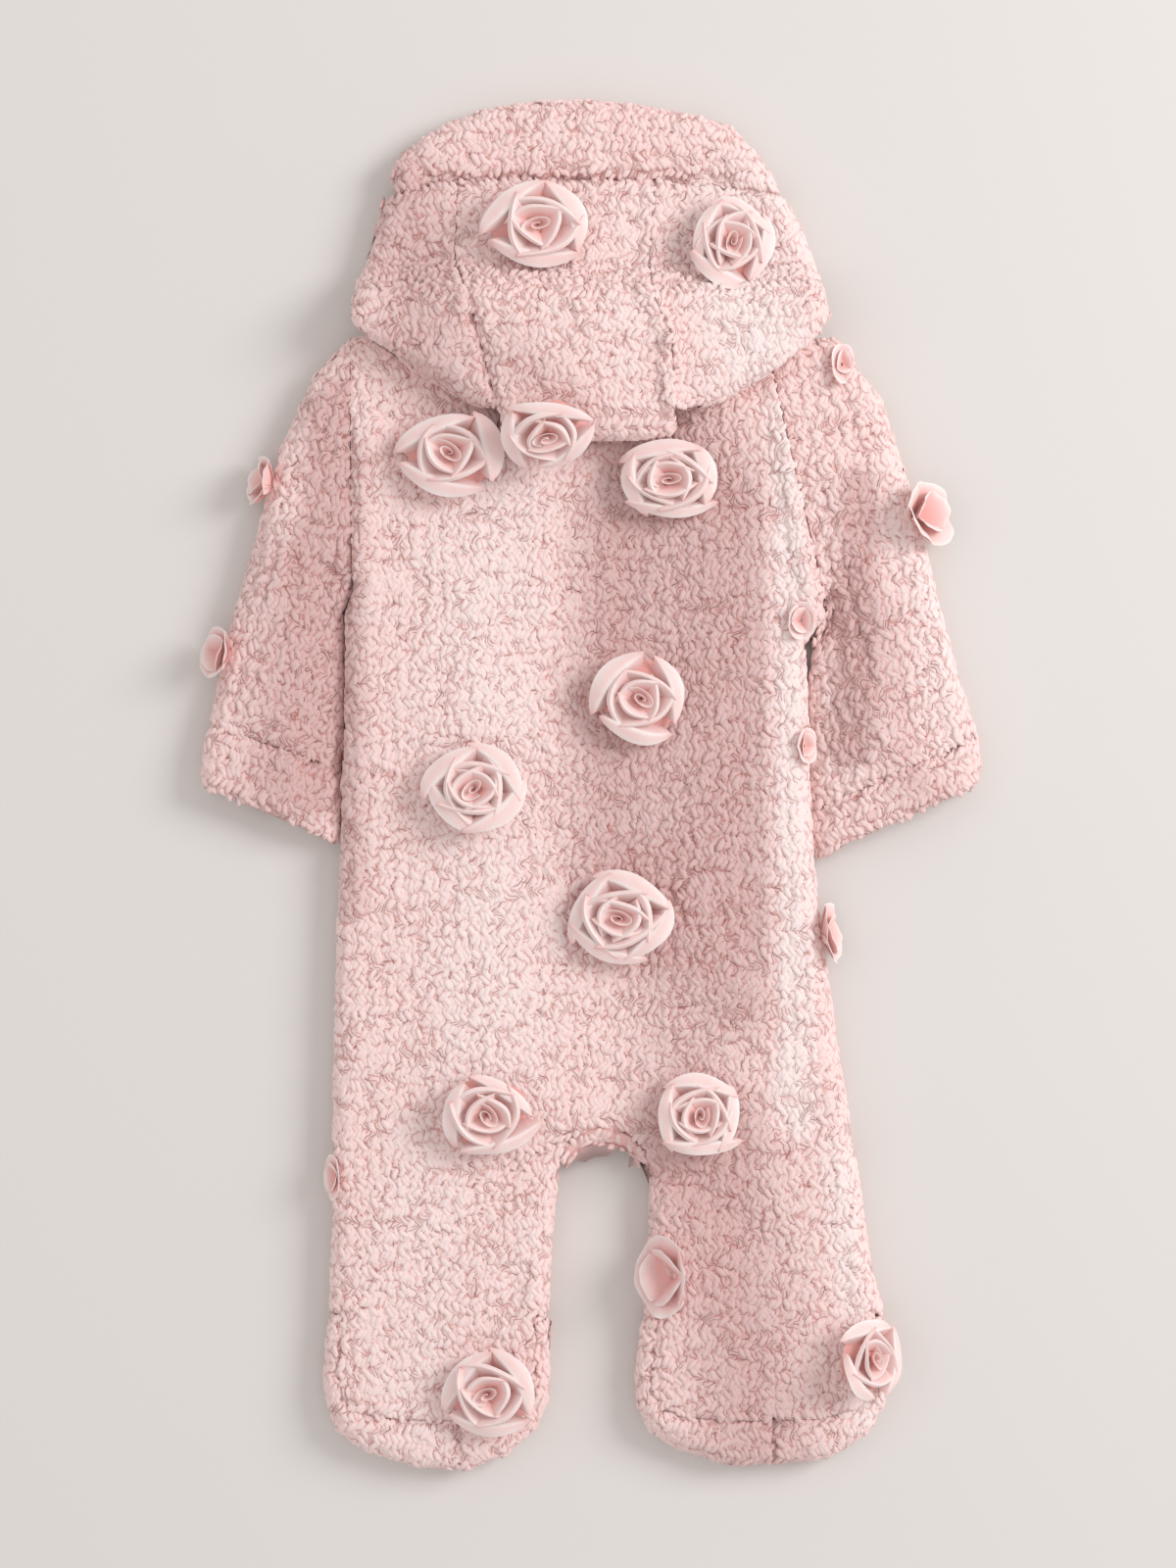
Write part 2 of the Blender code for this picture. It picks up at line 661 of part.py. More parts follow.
def tube_wall(part, place, side, press, way, near_outer):
    """The outer and inner point of a tube's wall, which leans only along its row."""
    inward = 1 if near_outer else -1
    distance = nearest(part.lines, *place)[0]
    found = part.layer(*place, side, press=press, row=way)
    if distance >= ROUND:
        return found[:2]
    flat = 1 - distance / ROUND
    rise = math.sqrt(1 - flat * flat)
    normal = Vector((-inward * way[0] * MID * flat, -inward * way[1] * MID * flat, side * ROUND * rise))
    outer = found[0]
    return outer, outer - WALL * normal.normalized()


def tube(name, rows, part, coat):
    """A flattened tube through rows that run from its outer edge to its inner edge."""
    points = {}
    for r, row in enumerate(rows):
        outer, inner = (row.outer_x, row.outer_y), (row.inner_x, row.inner_y)
        width = math.dist(outer, inner)
        way = direction(outer, inner)
        places = [length / width for length in across(0.0, width)]
        ring = [(share, 1) for share in places] + [(share, -1) for share in places[-2:0:-1]]
        for c, (share, side) in enumerate(ring):
            place = lerp(outer, inner, share)
            points[r, c] = tube_wall(part, place, side, row.press, way, share < 0.5)
    count = len(ring)
    cells = []
    for r in range(len(rows) - 1):
        for c in range(count):
            after = (c + 1) % count
            cells.append(((r, c), (r + 1, c), (r + 1, after), (r, after)))
    return thicken(name, points, cells, coat)


def cuff_rows(sleeve, cuff):
    """The cuff starts just clear of the sleeve's last row."""
    last = Vector(sleeve[-1])
    step = Vector(cuff[0]) - last
    start = last + step * (SEAM * 1.3 / math.hypot(step[0], step[1]))
    return [type(sleeve[-1])(*start)] + cuff


def hood_edges():
    line = [(row.x, row.y) for row in HOOD_LEFT_EDGE]
    line += [(row.x, row.y) for row in HOOD_BOTTOM]
    line += [(row.x, row.y) for row in reversed(HOOD_RIGHT_EDGE)]
    line += [(row.x, row.y) for row in HOOD_TOP]
    return [line + line[:1]]


def bottom_y(x):
    """The folded edge along the bottom of the hood's centre panel."""
    line = [(HOOD_LEFT_EDGE[-1].x, HOOD_LEFT_EDGE[-1].y)]
    line += [(row.x, row.y) for row in HOOD_BOTTOM]
    line += [(row.x, row.y) for row in reversed(HOOD_RIGHT_EDGE[-2:])]
    line = [(HOOD_LEFT_EDGE[-2].x, HOOD_LEFT_EDGE[-2].y)] + line
    for (ax, ay), (bx, by) in zip(line, line[1:]):
        if x <= bx:
            return ay + (by - ay) * (x - ax) / (bx - ax)
    return line[-1][1]


def hood_centre(hood, coat):
    """The middle panel, from the brim seam down to the fold and back under to the nape."""
    shares = (0.0, 0.25, 0.5, 0.75, 1.0)

    def at(y, share):
        left = along(CENTRE_PANEL, y, "left") + SEAM / 2
        right = along(CENTRE_PANEL, y, "right") - SEAM / 2
        return left + (right - left) * share

    rows = [(BRIM_SEAM_Y - SEAM, None, 1)]
    rows += [(y, None, 1) for y in (290.0, 266.0, 246.0, 226.0, 206.0)]
    rows += [(None, drop, 1) for drop in reversed(CURL)]
    rows += [(None, drop, -1) for drop in CURL[1:]]
    rows += [(206.0, None, -1), (226.0, None, -1), (NAPE_Y, None, -1)]
    points = {}
    for r, (y, drop, side) in enumerate(rows):
        for c, share in enumerate(shares):
            place_y = y
            if y is None:
                place_y = bottom_y(at(bottom_y(0.0), share)) + drop
            row = (1.0, 0.0) if r == 0 else None
            points[r, c] = hood.layer(at(place_y, share), place_y, side, row=row)[:2]
    cells = []
    for r in range(len(rows) - 1):
        for c in range(len(shares) - 1):
            cells.append(((r, c), (r + 1, c), (r + 1, c + 1), (r, c + 1)))
    return thicken("hood_centre", points, cells, coat)


def hood_side(name, column, edge_rows, brim_end, hood, coat):
    """A side panel: from the centre seam out over the folded edge and back under to the face edge."""
    sign = -1 if column == "left" else 1
    centre_top = (getattr(CENTRE_PANEL[0], column) + sign * SEAM / 2, BRIM_SEAM_Y - SEAM)
    corner_y = brim_end[1] - 2 * SEAM
    corner = (along(edge_rows, corner_y), corner_y)
    under = (getattr(FACE_EDGE[0], column), corner_y)
    lines = [(centre_top, corner, under)]
    for y in SIDE_PANEL_ROWS:
        seam = (along(CENTRE_PANEL, y, column) + sign * SEAM / 2, y)
        edge = (along(edge_rows, y), y)
        face = (along(FACE_EDGE, y, column), y) if y >= FACE_EDGE[-1].y else seam
        lines.append((seam, edge, face))
    points = {}
    for r, (seam, edge, face) in enumerate(lines):
        top, under = math.dist(seam, edge), math.dist(edge, face)
        near = [c * min(1.0, 0.8 * top / ROUND) for c in CURL]
        below = [c * min(1.0, 0.8 * under / ROUND) for c in CURL]
        section = [(lerp(edge, seam, share), 1) for share in (1.0, (1 + near[-1] / top) / 2)]
        section += [(lerp(edge, seam, length / top), 1) for length in reversed(near)]
        section += [(lerp(edge, face, length / under), -1) for length in below[1:]]
        section += [(lerp(edge, face, share), -1) for share in ((1 + below[-1] / under) / 2, 1.0)]
        row = direction(seam, edge) if r == 0 else None
        for c, (place, side) in enumerate(section):
            points[r, c] = hood.layer(*place, side, row=row)[:2]
    cells = []
    for r in range(len(lines) - 1):
        for c in range(len(section) - 1):
            cells.append(((r, c), (r + 1, c), (r + 1, c + 1), (r, c + 1)))
    return thicken(name, points, cells, coat)


def rose(index, row, part, coat):
    """A rose: a narrow stem, a ring of open petals and a rolled bud, lobed and turned."""
    outer, _, normal = part.layer(row.x, row.y, 1)
    lean = Matrix.Rotation(math.radians(row.lean), 3, Vector((
        -math.sin(math.radians(row.toward)), math.cos(math.radians(row.toward)), 0.0)))
    up = lean @ normal
    side = Vector((1, 0, 0)) if abs(up.x) < 0.7 else Vector((0, 1, 0))
    front = up.cross(side).normalized()
    side = front.cross(up).normalized()
    if abs(side.y) > abs(side.x):
        side, front = -front, side
    mesh = bmesh.new()
    rings = []
    for ring in ROSE_RINGS:
        verts = []
        for i in range(ROSE_SEGMENTS):
            angle = 2 * math.pi * i / ROSE_SEGMENTS
            lobe = math.cos(ROSE_LOBES * angle + math.radians(row.spin + ring.turn))
            radius = ring.radius * (1 + ring.lobe * lobe) / 2
            place = outer + up * (ring.height * row.tall + SEAM)
            place += side * (row.wide * radius * math.cos(angle))
            place += front * (row.deep * radius * math.sin(angle))
            verts.append(place)
        rings.append(verts)
    centre = outer + up * (ROSE_DIP * row.tall + SEAM)
    for verts in rings:
        for place in verts:
            settle(place, part)
    made = [[mesh.verts.new(place * MM) for place in verts] for verts in rings]
    for low, high in zip(made, made[1:]):
        for i in range(ROSE_SEGMENTS):
            j = (i + 1) % ROSE_SEGMENTS
            mesh.faces.new((low[i], low[j], high[j], high[i]))
    mesh.faces.new(made[0])
    tip = mesh.verts.new(centre * MM)
    for i in range(ROSE_SEGMENTS):
        mesh.faces.new((made[-1][i], made[-1][(i + 1) % ROSE_SEGMENTS], tip))
    return add_mesh(f"rose_{index:02d}", mesh, coat)


def settle(place, part):
    """Lifts a petal's point on to the fleece or the floor where it would sink in."""
    distance, way = nearest(part.lines, place.x, place.y)
    inside = False
    for line in part.lines:
        for (ax, ay), (bx, by) in zip(line, line[1:]):
            share = ((place.x - ax) * (bx - ax) + (place.y - ay) * (by - ay)) / math.dist((ax, ay), (bx, by)) ** 2
            near = lerp((ax, ay), (bx, by), min(1.0, max(0.0, share)))
            if abs(math.dist(near, (place.x, place.y)) - distance) < 1e-6:
                inside = (bx - ax) * (place.y - ay) - (by - ay) * (place.x - ax) > 0
    if inside:
        place.z = max(place.z, part.layer(place.x, place.y, 1)[0].z + ROSE_CLEAR)
    place.z = max(place.z, ROSE_CLEAR)


def box(name, low, high, coat, home=NAME):
    mesh = bmesh.new()
    bmesh.ops.create_cube(mesh, size=1.0)
    size = [b - a for a, b in zip(low, high)]
    centre = Vector([(a + b) / 2 for a, b in zip(low, high)])
    bmesh.ops.scale(mesh, vec=Vector(size) * MM, verts=mesh.verts)
    data = bpy.data.meshes.new(name)
    mesh.to_mesh(data)
    mesh.free()
    data.materials.append(coat)
    made = bpy.data.objects.new(name, data)
    made.location = centre * MM
    bpy.data.collections[home].objects.link(made)
    return made


def combine(target, operation, low, high, coat):
    """Adds a box to an object, or cuts it out."""
    tool = box(f"{target.name}_{len(target.modifiers)}", low, high, coat, "cutters")
    tool.hide_render = True
    tool.display_type = "WIRE"
    modifier = target.modifiers.new(operation.lower(), "BOOLEAN")
    modifier.operation = operation
    modifier.object = tool


def zip_parts():
    tape_coat = material("zip tape", TAPE_PINK, 0.8)
    metal = material("zip slider", METAL_PINK, 0.35, 0.6)
    tab_coat = material("zip pull", METAL_PINK, 0.35, 0.6)
    tape_z = WALL + SEAM
    tape = box(
        "zip_tape",
        (ZIP_X - TAPE_HALF, TAPE_END_Y, tape_z),
        (ZIP_X + TAPE_HALF, ZIP_TOP_Y, tape_z + TAPE_THICK),
        tape_coat,
    )
    coil_low = (ZIP_X - COIL_HALF, ZIP_END_Y + 2, COIL_Z)
    combine(tape, "UNION", coil_low, (ZIP_X + COIL_HALF, ZIP_TOP_Y - 4, tape_z + TAPE_THICK / 2), tape_coat)
    low_y, high_y = SLIDER_Y
    slider = box(
        "zip_slider",
        (ZIP_X - SLIDER_HALF, low_y, SLIDER_Z[0]),
        (ZIP_X + SLIDER_HALF, high_y, SLIDER_Z[1]),
        metal,
    )
    left, right = ZIP_X - BRIDGE_HALF, ZIP_X + BRIDGE_HALF
    combine(slider, "UNION", (left, BRIDGE_Y[0], BRIDGE_Z[0]), (right, BRIDGE_Y[1], BRIDGE_Z[1]), metal)
    for start in (BRIDGE_Y[0], BRIDGE_Y[1] - POST):
        post_low = (left - 0.1, start - 0.1, BRIDGE_Z[0] + 0.3)
        post_high = (right + 0.1, start + POST, SLIDER_Z[0] + 0.5)
        combine(slider, "UNION", post_low, post_high, metal)
    pull = box(
        "zip_pull",
        (ZIP_X - PULL_HALF, PULL_AXIS_Y - PULL_LENGTH, PULL_AXIS_Z - PULL_THICK / 2),
        (ZIP_X + PULL_HALF, PULL_AXIS_Y, PULL_AXIS_Z + PULL_THICK / 2),
        tab_coat,
    )
    combine(
        pull,
        "DIFFERENCE",
        (ZIP_X - EYE_HALF, PULL_AXIS_Y - EYE_LENGTH, PULL_AXIS_Z - PULL_THICK),
        (ZIP_X + EYE_HALF, PULL_AXIS_Y + PULL_THICK, PULL_AXIS_Z + PULL_THICK),
        tab_coat,
    )
    round_bar(pull, tab_coat)
    move_origin(pull, Vector((ZIP_X, PULL_AXIS_Y, PULL_AXIS_Z)))


def round_bar(pull, coat):
    """The round bar of the pull's eye, which turns under the slider's bridge."""
    turned = Matrix.Translation(Vector((ZIP_X, PULL_AXIS_Y, PULL_AXIS_Z)) * MM) @ Matrix.Rotation(math.pi / 2, 4, "Y")
    mesh = bmesh.new()
    bmesh.ops.create_cone(
        mesh,
        cap_ends=True,
        segments=24,
        radius1=BAR_RADIUS * MM,
        radius2=BAR_RADIUS * MM,
        depth=2 * PULL_HALF * MM,
        matrix=turned,
    )
    data = bpy.data.meshes.new("eye_bar")
    mesh.to_mesh(data)
    mesh.free()
    data.materials.append(coat)
    bar = bpy.data.objects.new("eye_bar", data)
    bpy.data.collections["cutters"].objects.link(bar)
    bar.hide_render = True
    bar.display_type = "WIRE"
    modifier = pull.modifiers.new("bar", "BOOLEAN")
    modifier.operation = "UNION"
    modifier.object = bar


def move_origin(made, place):
    """Puts an object's origin on its joint's axis, with the shape left where it is."""
    shift = made.location - place * MM
    made.data.transform(Matrix.Translation(shift))
    made.location = place * MM


def build():
    clear_scene()
    for name in (NAME, "cutters"):
        home = bpy.data.collections.get(name) or bpy.data.collections.new(name)
        if home.name not in bpy.context.scene.collection.children:
            bpy.context.scene.collection.children.link(home)

    body = Part("body", body_edges())
    hood = Part("hood", hood_edges(), base=hood_base)
    left_sleeve = sleeve_part(LEFT_SLEEVE, LEFT_CUFF, True)
    right_sleeve = sleeve_part(RIGHT_SLEEVE, RIGHT_CUFF, False)

    fleece = {
        name: material(name.replace("_", " "), FLEECE_PINK, 0.95)
        for name in (
            "back", "front_left", "front_right", "crotch_gusset", "foot_left", "foot_right",
            "sleeve_left", "sleeve_right", "hood_centre", "hood_left", "hood_right",
        )
    }
    hems = {
        name: material(name.replace("_", " "), HEM_PINK, 0.95)
        for name in ("cuff_left", "cuff_right", "hood_band")
    }

    body_panel("back", 1, 0, LAST, body, fleece["back"])
    body_panel("front_left", -1, 0, MIDDLE, body, fleece["front_left"])
    body_panel("front_right", -1, MIDDLE, LAST, body, fleece["front_right"])
    edge_piece("crotch_gusset", gusset_stations(), body, fleece["crotch_gusset"])
    left_foot = foot_stations(LEFT_FOOT, left_x, lambda y: along(INNER_LEGS, y, "left"), True)
    right_foot = foot_stations(RIGHT_FOOT, right_x, lambda y: along(INNER_LEGS, y, "right"), False)
    edge_piece("foot_left", left_foot, body, fleece["foot_left"])
    edge_piece("foot_right", right_foot, body, fleece["foot_right"])

    tube("sleeve_left", LEFT_SLEEVE, left_sleeve, fleece["sleeve_left"])
    tube("cuff_left", cuff_rows(LEFT_SLEEVE, LEFT_CUFF), left_sleeve, hems["cuff_left"])
    tube("sleeve_right", RIGHT_SLEEVE, right_sleeve, fleece["sleeve_right"])
    tube("cuff_right", cuff_rows(RIGHT_SLEEVE, RIGHT_CUFF), right_sleeve, hems["cuff_right"])

    hood_centre(hood, fleece["hood_centre"])
    hood_side("hood_left", "left", HOOD_LEFT_EDGE, BRIM_LEFT, hood, fleece["hood_left"])
    hood_side("hood_right", "right", HOOD_RIGHT_EDGE, BRIM_RIGHT, hood, fleece["hood_right"])
    brim = [((row.edge_x, row.edge_y), (row.seam_x, row.seam_y)) for row in BRIM]
    edge_piece("hood_band", brim, hood, hems["hood_band"], straight_seam=True)

    for index, row in enumerate(ROSES, 1):
        if row.on == "sleeve":
            part = left_sleeve if row.x < 0 else right_sleeve
        else:
            part = hood if row.on == "hood" else body
        rose(index, row, part, material(f"rose {index:02d}", CHIFFON_PINK, 0.6))
    zip_parts()


build()
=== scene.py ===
"""The looks of a baby's hooded, footed pramsuit: curly teddy fleece, chiffon roses and a front zip.

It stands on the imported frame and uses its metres: +Z up, the hood along +Y, the garment face down on
z = 0. The tables below are in millimetres and repeat the part's own cut.
"""

import functools
import math
from collections import namedtuple

import bpy
import numpy as np
from bpy.props import FloatProperty, FloatVectorProperty, PointerProperty
from mathutils import Matrix, Vector


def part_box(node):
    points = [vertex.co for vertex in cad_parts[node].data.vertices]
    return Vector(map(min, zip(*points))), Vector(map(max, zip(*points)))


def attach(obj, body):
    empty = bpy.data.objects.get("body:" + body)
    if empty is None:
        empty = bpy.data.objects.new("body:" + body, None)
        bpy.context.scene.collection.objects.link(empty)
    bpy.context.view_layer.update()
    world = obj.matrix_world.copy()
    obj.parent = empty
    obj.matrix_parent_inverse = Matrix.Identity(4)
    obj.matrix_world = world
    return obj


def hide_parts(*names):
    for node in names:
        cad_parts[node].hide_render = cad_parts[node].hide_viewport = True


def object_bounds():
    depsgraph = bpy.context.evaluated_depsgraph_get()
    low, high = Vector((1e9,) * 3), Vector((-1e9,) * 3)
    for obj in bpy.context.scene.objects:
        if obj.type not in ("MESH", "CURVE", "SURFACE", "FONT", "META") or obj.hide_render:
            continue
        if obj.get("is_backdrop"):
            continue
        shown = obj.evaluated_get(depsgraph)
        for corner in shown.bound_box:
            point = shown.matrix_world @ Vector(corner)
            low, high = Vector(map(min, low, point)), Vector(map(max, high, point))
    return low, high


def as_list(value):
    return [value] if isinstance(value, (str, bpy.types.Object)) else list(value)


bl_info = {
    "name": "Teddy fleece pramsuit",
    "version": (1, 0, 0),
    "blender": (4, 5, 0),
    "location": "View3D > Sidebar > Pramsuit",
    "description": "Builds the fleece, the chiffon roses, the zip and the stage of a baby pramsuit",
    "category": "Object",
}

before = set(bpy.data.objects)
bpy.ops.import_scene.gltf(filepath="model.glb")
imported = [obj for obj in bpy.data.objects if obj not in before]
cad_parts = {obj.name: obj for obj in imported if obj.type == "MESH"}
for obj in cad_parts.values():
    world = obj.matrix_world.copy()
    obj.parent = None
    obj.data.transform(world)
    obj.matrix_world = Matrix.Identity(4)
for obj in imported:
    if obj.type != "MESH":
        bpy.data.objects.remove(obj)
CAD_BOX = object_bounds()
bpy.ops.object.select_all(action="DESELECT")

MM = 0.001
GARMENT = "garment"


def table(columns, *rows):
    """Rows of numbers with named columns."""
    row_type = namedtuple("Row", columns)
    return [row_type(*row) for row in rows]


# The fleece
WALL = 7.5  # one layer of fleece with its pile
THICK = 18.5  # two layers and the air between
MID = THICK / 2
ROUND = 11.0  # how far in from a folded edge the rounding reaches
SEAM = 0.3  # between one piece and the next
FLOOR_GAP = 0.05  # between the fleece and the floor

# The body in plan
LEFT_SHOULDER = (-122.0, 229.0)
RIGHT_SHOULDER = (88.0, 229.0)
NECK_HALF = 48.0
NECK_SIDE_Y = 243.0
BACK_NECK_Y = 235.0
FRONT_NECK_Y = 228.0
LEFT_SIDE = table(
    "y x",
    (101.0, -121.2),
    (88.0, -125.0),
    (26.0, -126.0),
    (-24.0, -127.5),
    (-99.0, -130.0),
    (-174.0, -132.0),
    (-224.0, -131.0),
    (-268.0, -133.5),
    (-299.0, -136.0),
)
RIGHT_SIDE = table(
    "y x",
    (92.0, 120.0),
    (86.0, 120.4),
    (72.0, 110.0),
    (51.0, 111.5),
    (1.0, 113.0),
    (-39.0, 115.0),
    (-74.0, 118.0),
    (-99.0, 122.0),
    (-139.0, 128.0),
    (-174.0, 134.0),
    (-209.0, 139.0),
    (-244.0, 144.0),
    (-268.0, 150.0),
    (-299.0, 153.0),
)
INNER_LEGS = table(
    "y left right",
    (-205.0, -16.0, 30.0),
    (-229.0, -18.5, 30.0),
    (-249.0, -20.0, 29.0),
    (-274.0, -21.0, 26.5),
    (-299.0, -21.0, 24.0),
)
ARCH_X = 7.0
ARCH_Y = INNER_LEGS[0].y
ARCH_R = 23.0
GUSSET_DEPTH = 8.0
ARM_TOP = -270.9
ARM_DEPTH = 8.0
LEFT_FOOT = table(
    "edge_x edge_y seam_x seam_y",
    (-134.5, -316.0, -126.5, -311.0),
    (-129.0, -329.0, -122.0, -317.5),
    (-113.0, -340.0, -110.5, -321.5),
    (-86.0, -347.6, -86.0, -323.5),
    (-62.0, -349.2, -62.5, -323.7),
    (-42.0, -341.5, -44.5, -321.5),
    (-28.0, -328.0, -33.5, -317.0),
    (-21.5, -314.0, -29.3, -310.0),
)
RIGHT_FOOT = table(
    "edge_x edge_y seam_x seam_y",
    (24.0, -316.0, 32.0, -311.0),
    (30.0, -329.0, 37.0, -318.0),
    (47.0, -339.0, 49.5, -321.5),
    (72.0, -347.8, 72.5, -323.8),
    (96.0, -347.0, 96.0, -323.3),
    (122.0, -344.0, 120.5, -322.0),
    (142.0, -331.5, 137.5, -317.0),
    (150.5, -316.0, 143.0, -310.5),
)

# The sleeves, from the shoulder down, and how far the fleece beside the body is pressed
PRESS_REACH = 30.0
LEFT_SLEEVE = table(
    "outer_x outer_y inner_x inner_y press",
    (-122.4, 229.0, -121.6, 101.0, 0.0),
    (-141.0, 208.0, -127.0, 88.0, 0.2),
    (-157.0, 172.0, -127.2, 70.0, 0.35),
    (-171.5, 122.0, -127.4, 48.0, 0.35),
    (-184.5, 77.0, -127.8, 27.0, 0.35),
    (-194.3, 32.0, -128.3, 8.0, 0.35),
)
LEFT_CUFF = table(
    "outer_x outer_y inner_x inner_y press",
    (-197.6, 13.0, -128.9, -12.0, 0.3),
    (-199.0, 0.0, -129.6, -29.0, 0.2),
)
RIGHT_SLEEVE = table(
    "outer_x outer_y inner_x inner_y press",
    (88.5, 229.4, 120.6, 92.4, 0.0),
    (126.0, 228.0, 121.8, 82.0, 0.2),
    (149.0, 196.0, 118.0, 69.0, 0.35),
    (164.0, 151.0, 115.0, 52.0, 0.35),
    (176.5, 101.0, 114.2, 33.0, 0.35),
    (187.0, 60.0, 115.0, 10.0, 0.35),
    (198.0, 25.0, 116.2, -13.0, 0.35),
)
RIGHT_CUFF = table(
    "outer_x outer_y inner_x inner_y press",
    (199.0, 11.0, 117.0, -25.0, 0.3),
    (197.5, 0.0, 117.8, -37.0, 0.2),
)
VALLEY_TOP_Y = 75.0  # below this the sleeves lie against the body


def snug(rows, by):
    """The same rows with their inner edge moved: the pile fills the valley beside the body."""
    return [row._replace(inner_x=row.inner_x + by) if row.inner_y < VALLEY_TOP_Y else row for row in rows]


LEFT_SLEEVE, LEFT_CUFF = snug(LEFT_SLEEVE, 1.5), snug(LEFT_CUFF, 1.5)
RIGHT_SLEEVE, RIGHT_CUFF = snug(RIGHT_SLEEVE, -3.6), snug(RIGHT_CUFF, -3.6)

# The hood
RAMP_TOP_Y = 243.0
RAMP_FOOT_Y = 268.0
HOOD_LEFT_EDGE = table(
    "y x",
    (316.0, -101.0),
    (296.0, -105.0),
    (276.0, -111.0),
    (256.0, -118.5),
    (238.0, -122.5),
    (231.0, -119.0),
    (222.0, -105.0),
    (208.0, -86.0),
    (196.0, -66.0),
    (188.0, -51.0),
    (179.0, -42.0),
)
HOOD_RIGHT_EDGE = table(
    "y x",
    (321.0, 86.5),
    (301.0, 99.0),
    (281.0, 109.0),
    (256.0, 118.0),
    (238.0, 121.5),
    (229.0, 117.0),
    (213.0, 99.0),
    (196.0, 69.0),
    (186.0, 50.0),
    (177.0, 41.0),
)
HOOD_BOTTOM = table("x y", (-31.0, 176.0), (-1.0, 174.5), (28.0, 175.0))
HOOD_TOP = table(
    "x y",
    (71.5, 336.0),
    (49.0, 343.0),
    (19.0, 348.0),
    (-1.0, 349.2),
    (-21.0, 349.2),
    (-51.0, 346.0),
    (-72.0, 339.0),
    (-86.0, 331.0),
    (-96.0, 323.0),
)
BRIM_SEAM_Y = 308.5
BRIM_LEFT = (-104.3, 299.3)
BRIM_RIGHT = (99.9, 299.0)
CENTRE_PANEL = table(
    "y left right",
    (BRIM_SEAM_Y, -67.5, 33.0),
    (266.0, -68.5, 30.0),
    (246.0, -61.0, 31.5),
    (226.0, -55.9, 41.0),
    (170.0, -41.7, 43.9),
)
NAPE_Y = 232.0
SIDE_PANEL_ROWS = (286.0, 266.0, 246.0, 236.0, 226.0, 206.0, 190.8)
FACE_EDGE = table("y left right", (299.0, -97.0, 92.0), (246.0, -15.0, 15.0))
BRIM = table(
    "edge_x edge_y seam_x seam_y",
    (-102.5, 308.5, -101.0, 300.1),
    (-96.0, 323.0, -90.0, 302.9),
    (-86.0, 331.0, -80.0, 305.4),
    (-72.0, 339.0, -67.5, BRIM_SEAM_Y),
    (-51.0, 346.0, -50.0, BRIM_SEAM_Y),
    (-21.0, 349.2, -21.0, BRIM_SEAM_Y),
    (-1.0, 349.2, -1.0, BRIM_SEAM_Y),
    (19.0, 348.0, 17.0, BRIM_SEAM_Y),
    (49.0, 343.0, 33.0, BRIM_SEAM_Y),
    (71.5, 336.0, 56.0, 305.2),
    (86.5, 321.0, 78.0, 302.1),
    (96.5, 305.0, 95.0, 299.7),
)

# Soft folds: a line, how far it reaches to each side, and how much it lifts the upper layer. The
# first thirteen are the solids' own. The others, small creases and broad swells, are the fleece's.
FOLDS = table(
    "on x0 y0 x1 y1 reach lift",
    ("body", -13.0, -184.0, -84.0, -246.0, 14.0, -2.5),
    ("body", 34.0, -190.0, 92.0, -236.0, 15.0, -1.8),
    ("body", -48.0, 140.0, -22.0, -40.0, 26.0, -1.6),
    ("body", -118.0, 96.0, -112.0, 190.0, 7.0, 1.6),
    ("body", 112.0, 96.0, 93.0, 205.0, 7.0, 2.4),
    ("hood", -69.0, 276.0, -64.0, 244.0, 9.0, 3.0),
    ("hood", -61.0, 244.0, -46.0, 190.0, 6.0, -2.4),
    ("hood", 32.0, 300.0, 29.0, 250.0, 7.0, 2.2),
    ("hood", 29.0, 250.0, 41.0, 224.0, 7.0, 3.2),
    ("hood", 41.0, 224.0, 42.0, 188.0, 7.0, 3.6),
    ("hood", -88.0, BRIM_SEAM_Y, 72.0, BRIM_SEAM_Y, 6.0, -2.4),
    ("sleeve", -150.0, 160.0, -170.0, 40.0, 14.0, 1.8),
    ("sleeve", 122.0, 160.0, 150.0, 20.0, 16.0, 2.4),
    ("body", -36.0, -250.0, -58.0, -290.0, 12.0, -1.8),
    ("body", -13.0, -182.0, -40.0, -196.0, 5.0, -1.5),
    ("body", 30.0, -186.0, 44.0, -204.0, 5.0, -1.3),
    ("body", -66.0, -322.0, -67.0, -345.0, 4.0, -3.0),
    ("body", 94.0, -322.0, 94.0, -349.0, 3.5, -3.2),
    ("hood", -62.0, 262.0, -60.0, 232.0, 3.5, -1.6),
    ("hood", -116.0, 240.0, -72.0, 262.0, 9.0, -1.2),
    ("sleeve", 130.0, 120.0, 142.0, 55.0, 6.0, -2.0),
    ("sleeve", -150.0, 120.0, -156.0, 70.0, 5.0, -1.2),
    ("body", 14.0, 190.0, 8.0, -120.0, 62.0, -5.0),
    ("body", -60.0, 150.0, -62.0, -150.0, 40.0, 1.5),
    ("body", 100.0, 170.0, 104.0, -150.0, 24.0, 2.0),
    ("hood", -8.0, 250.0, -8.0, 232.0, 96.0, 4.5),
    ("hood", -94.0, 262.0, -100.0, 215.0, 30.0, -2.5),
)

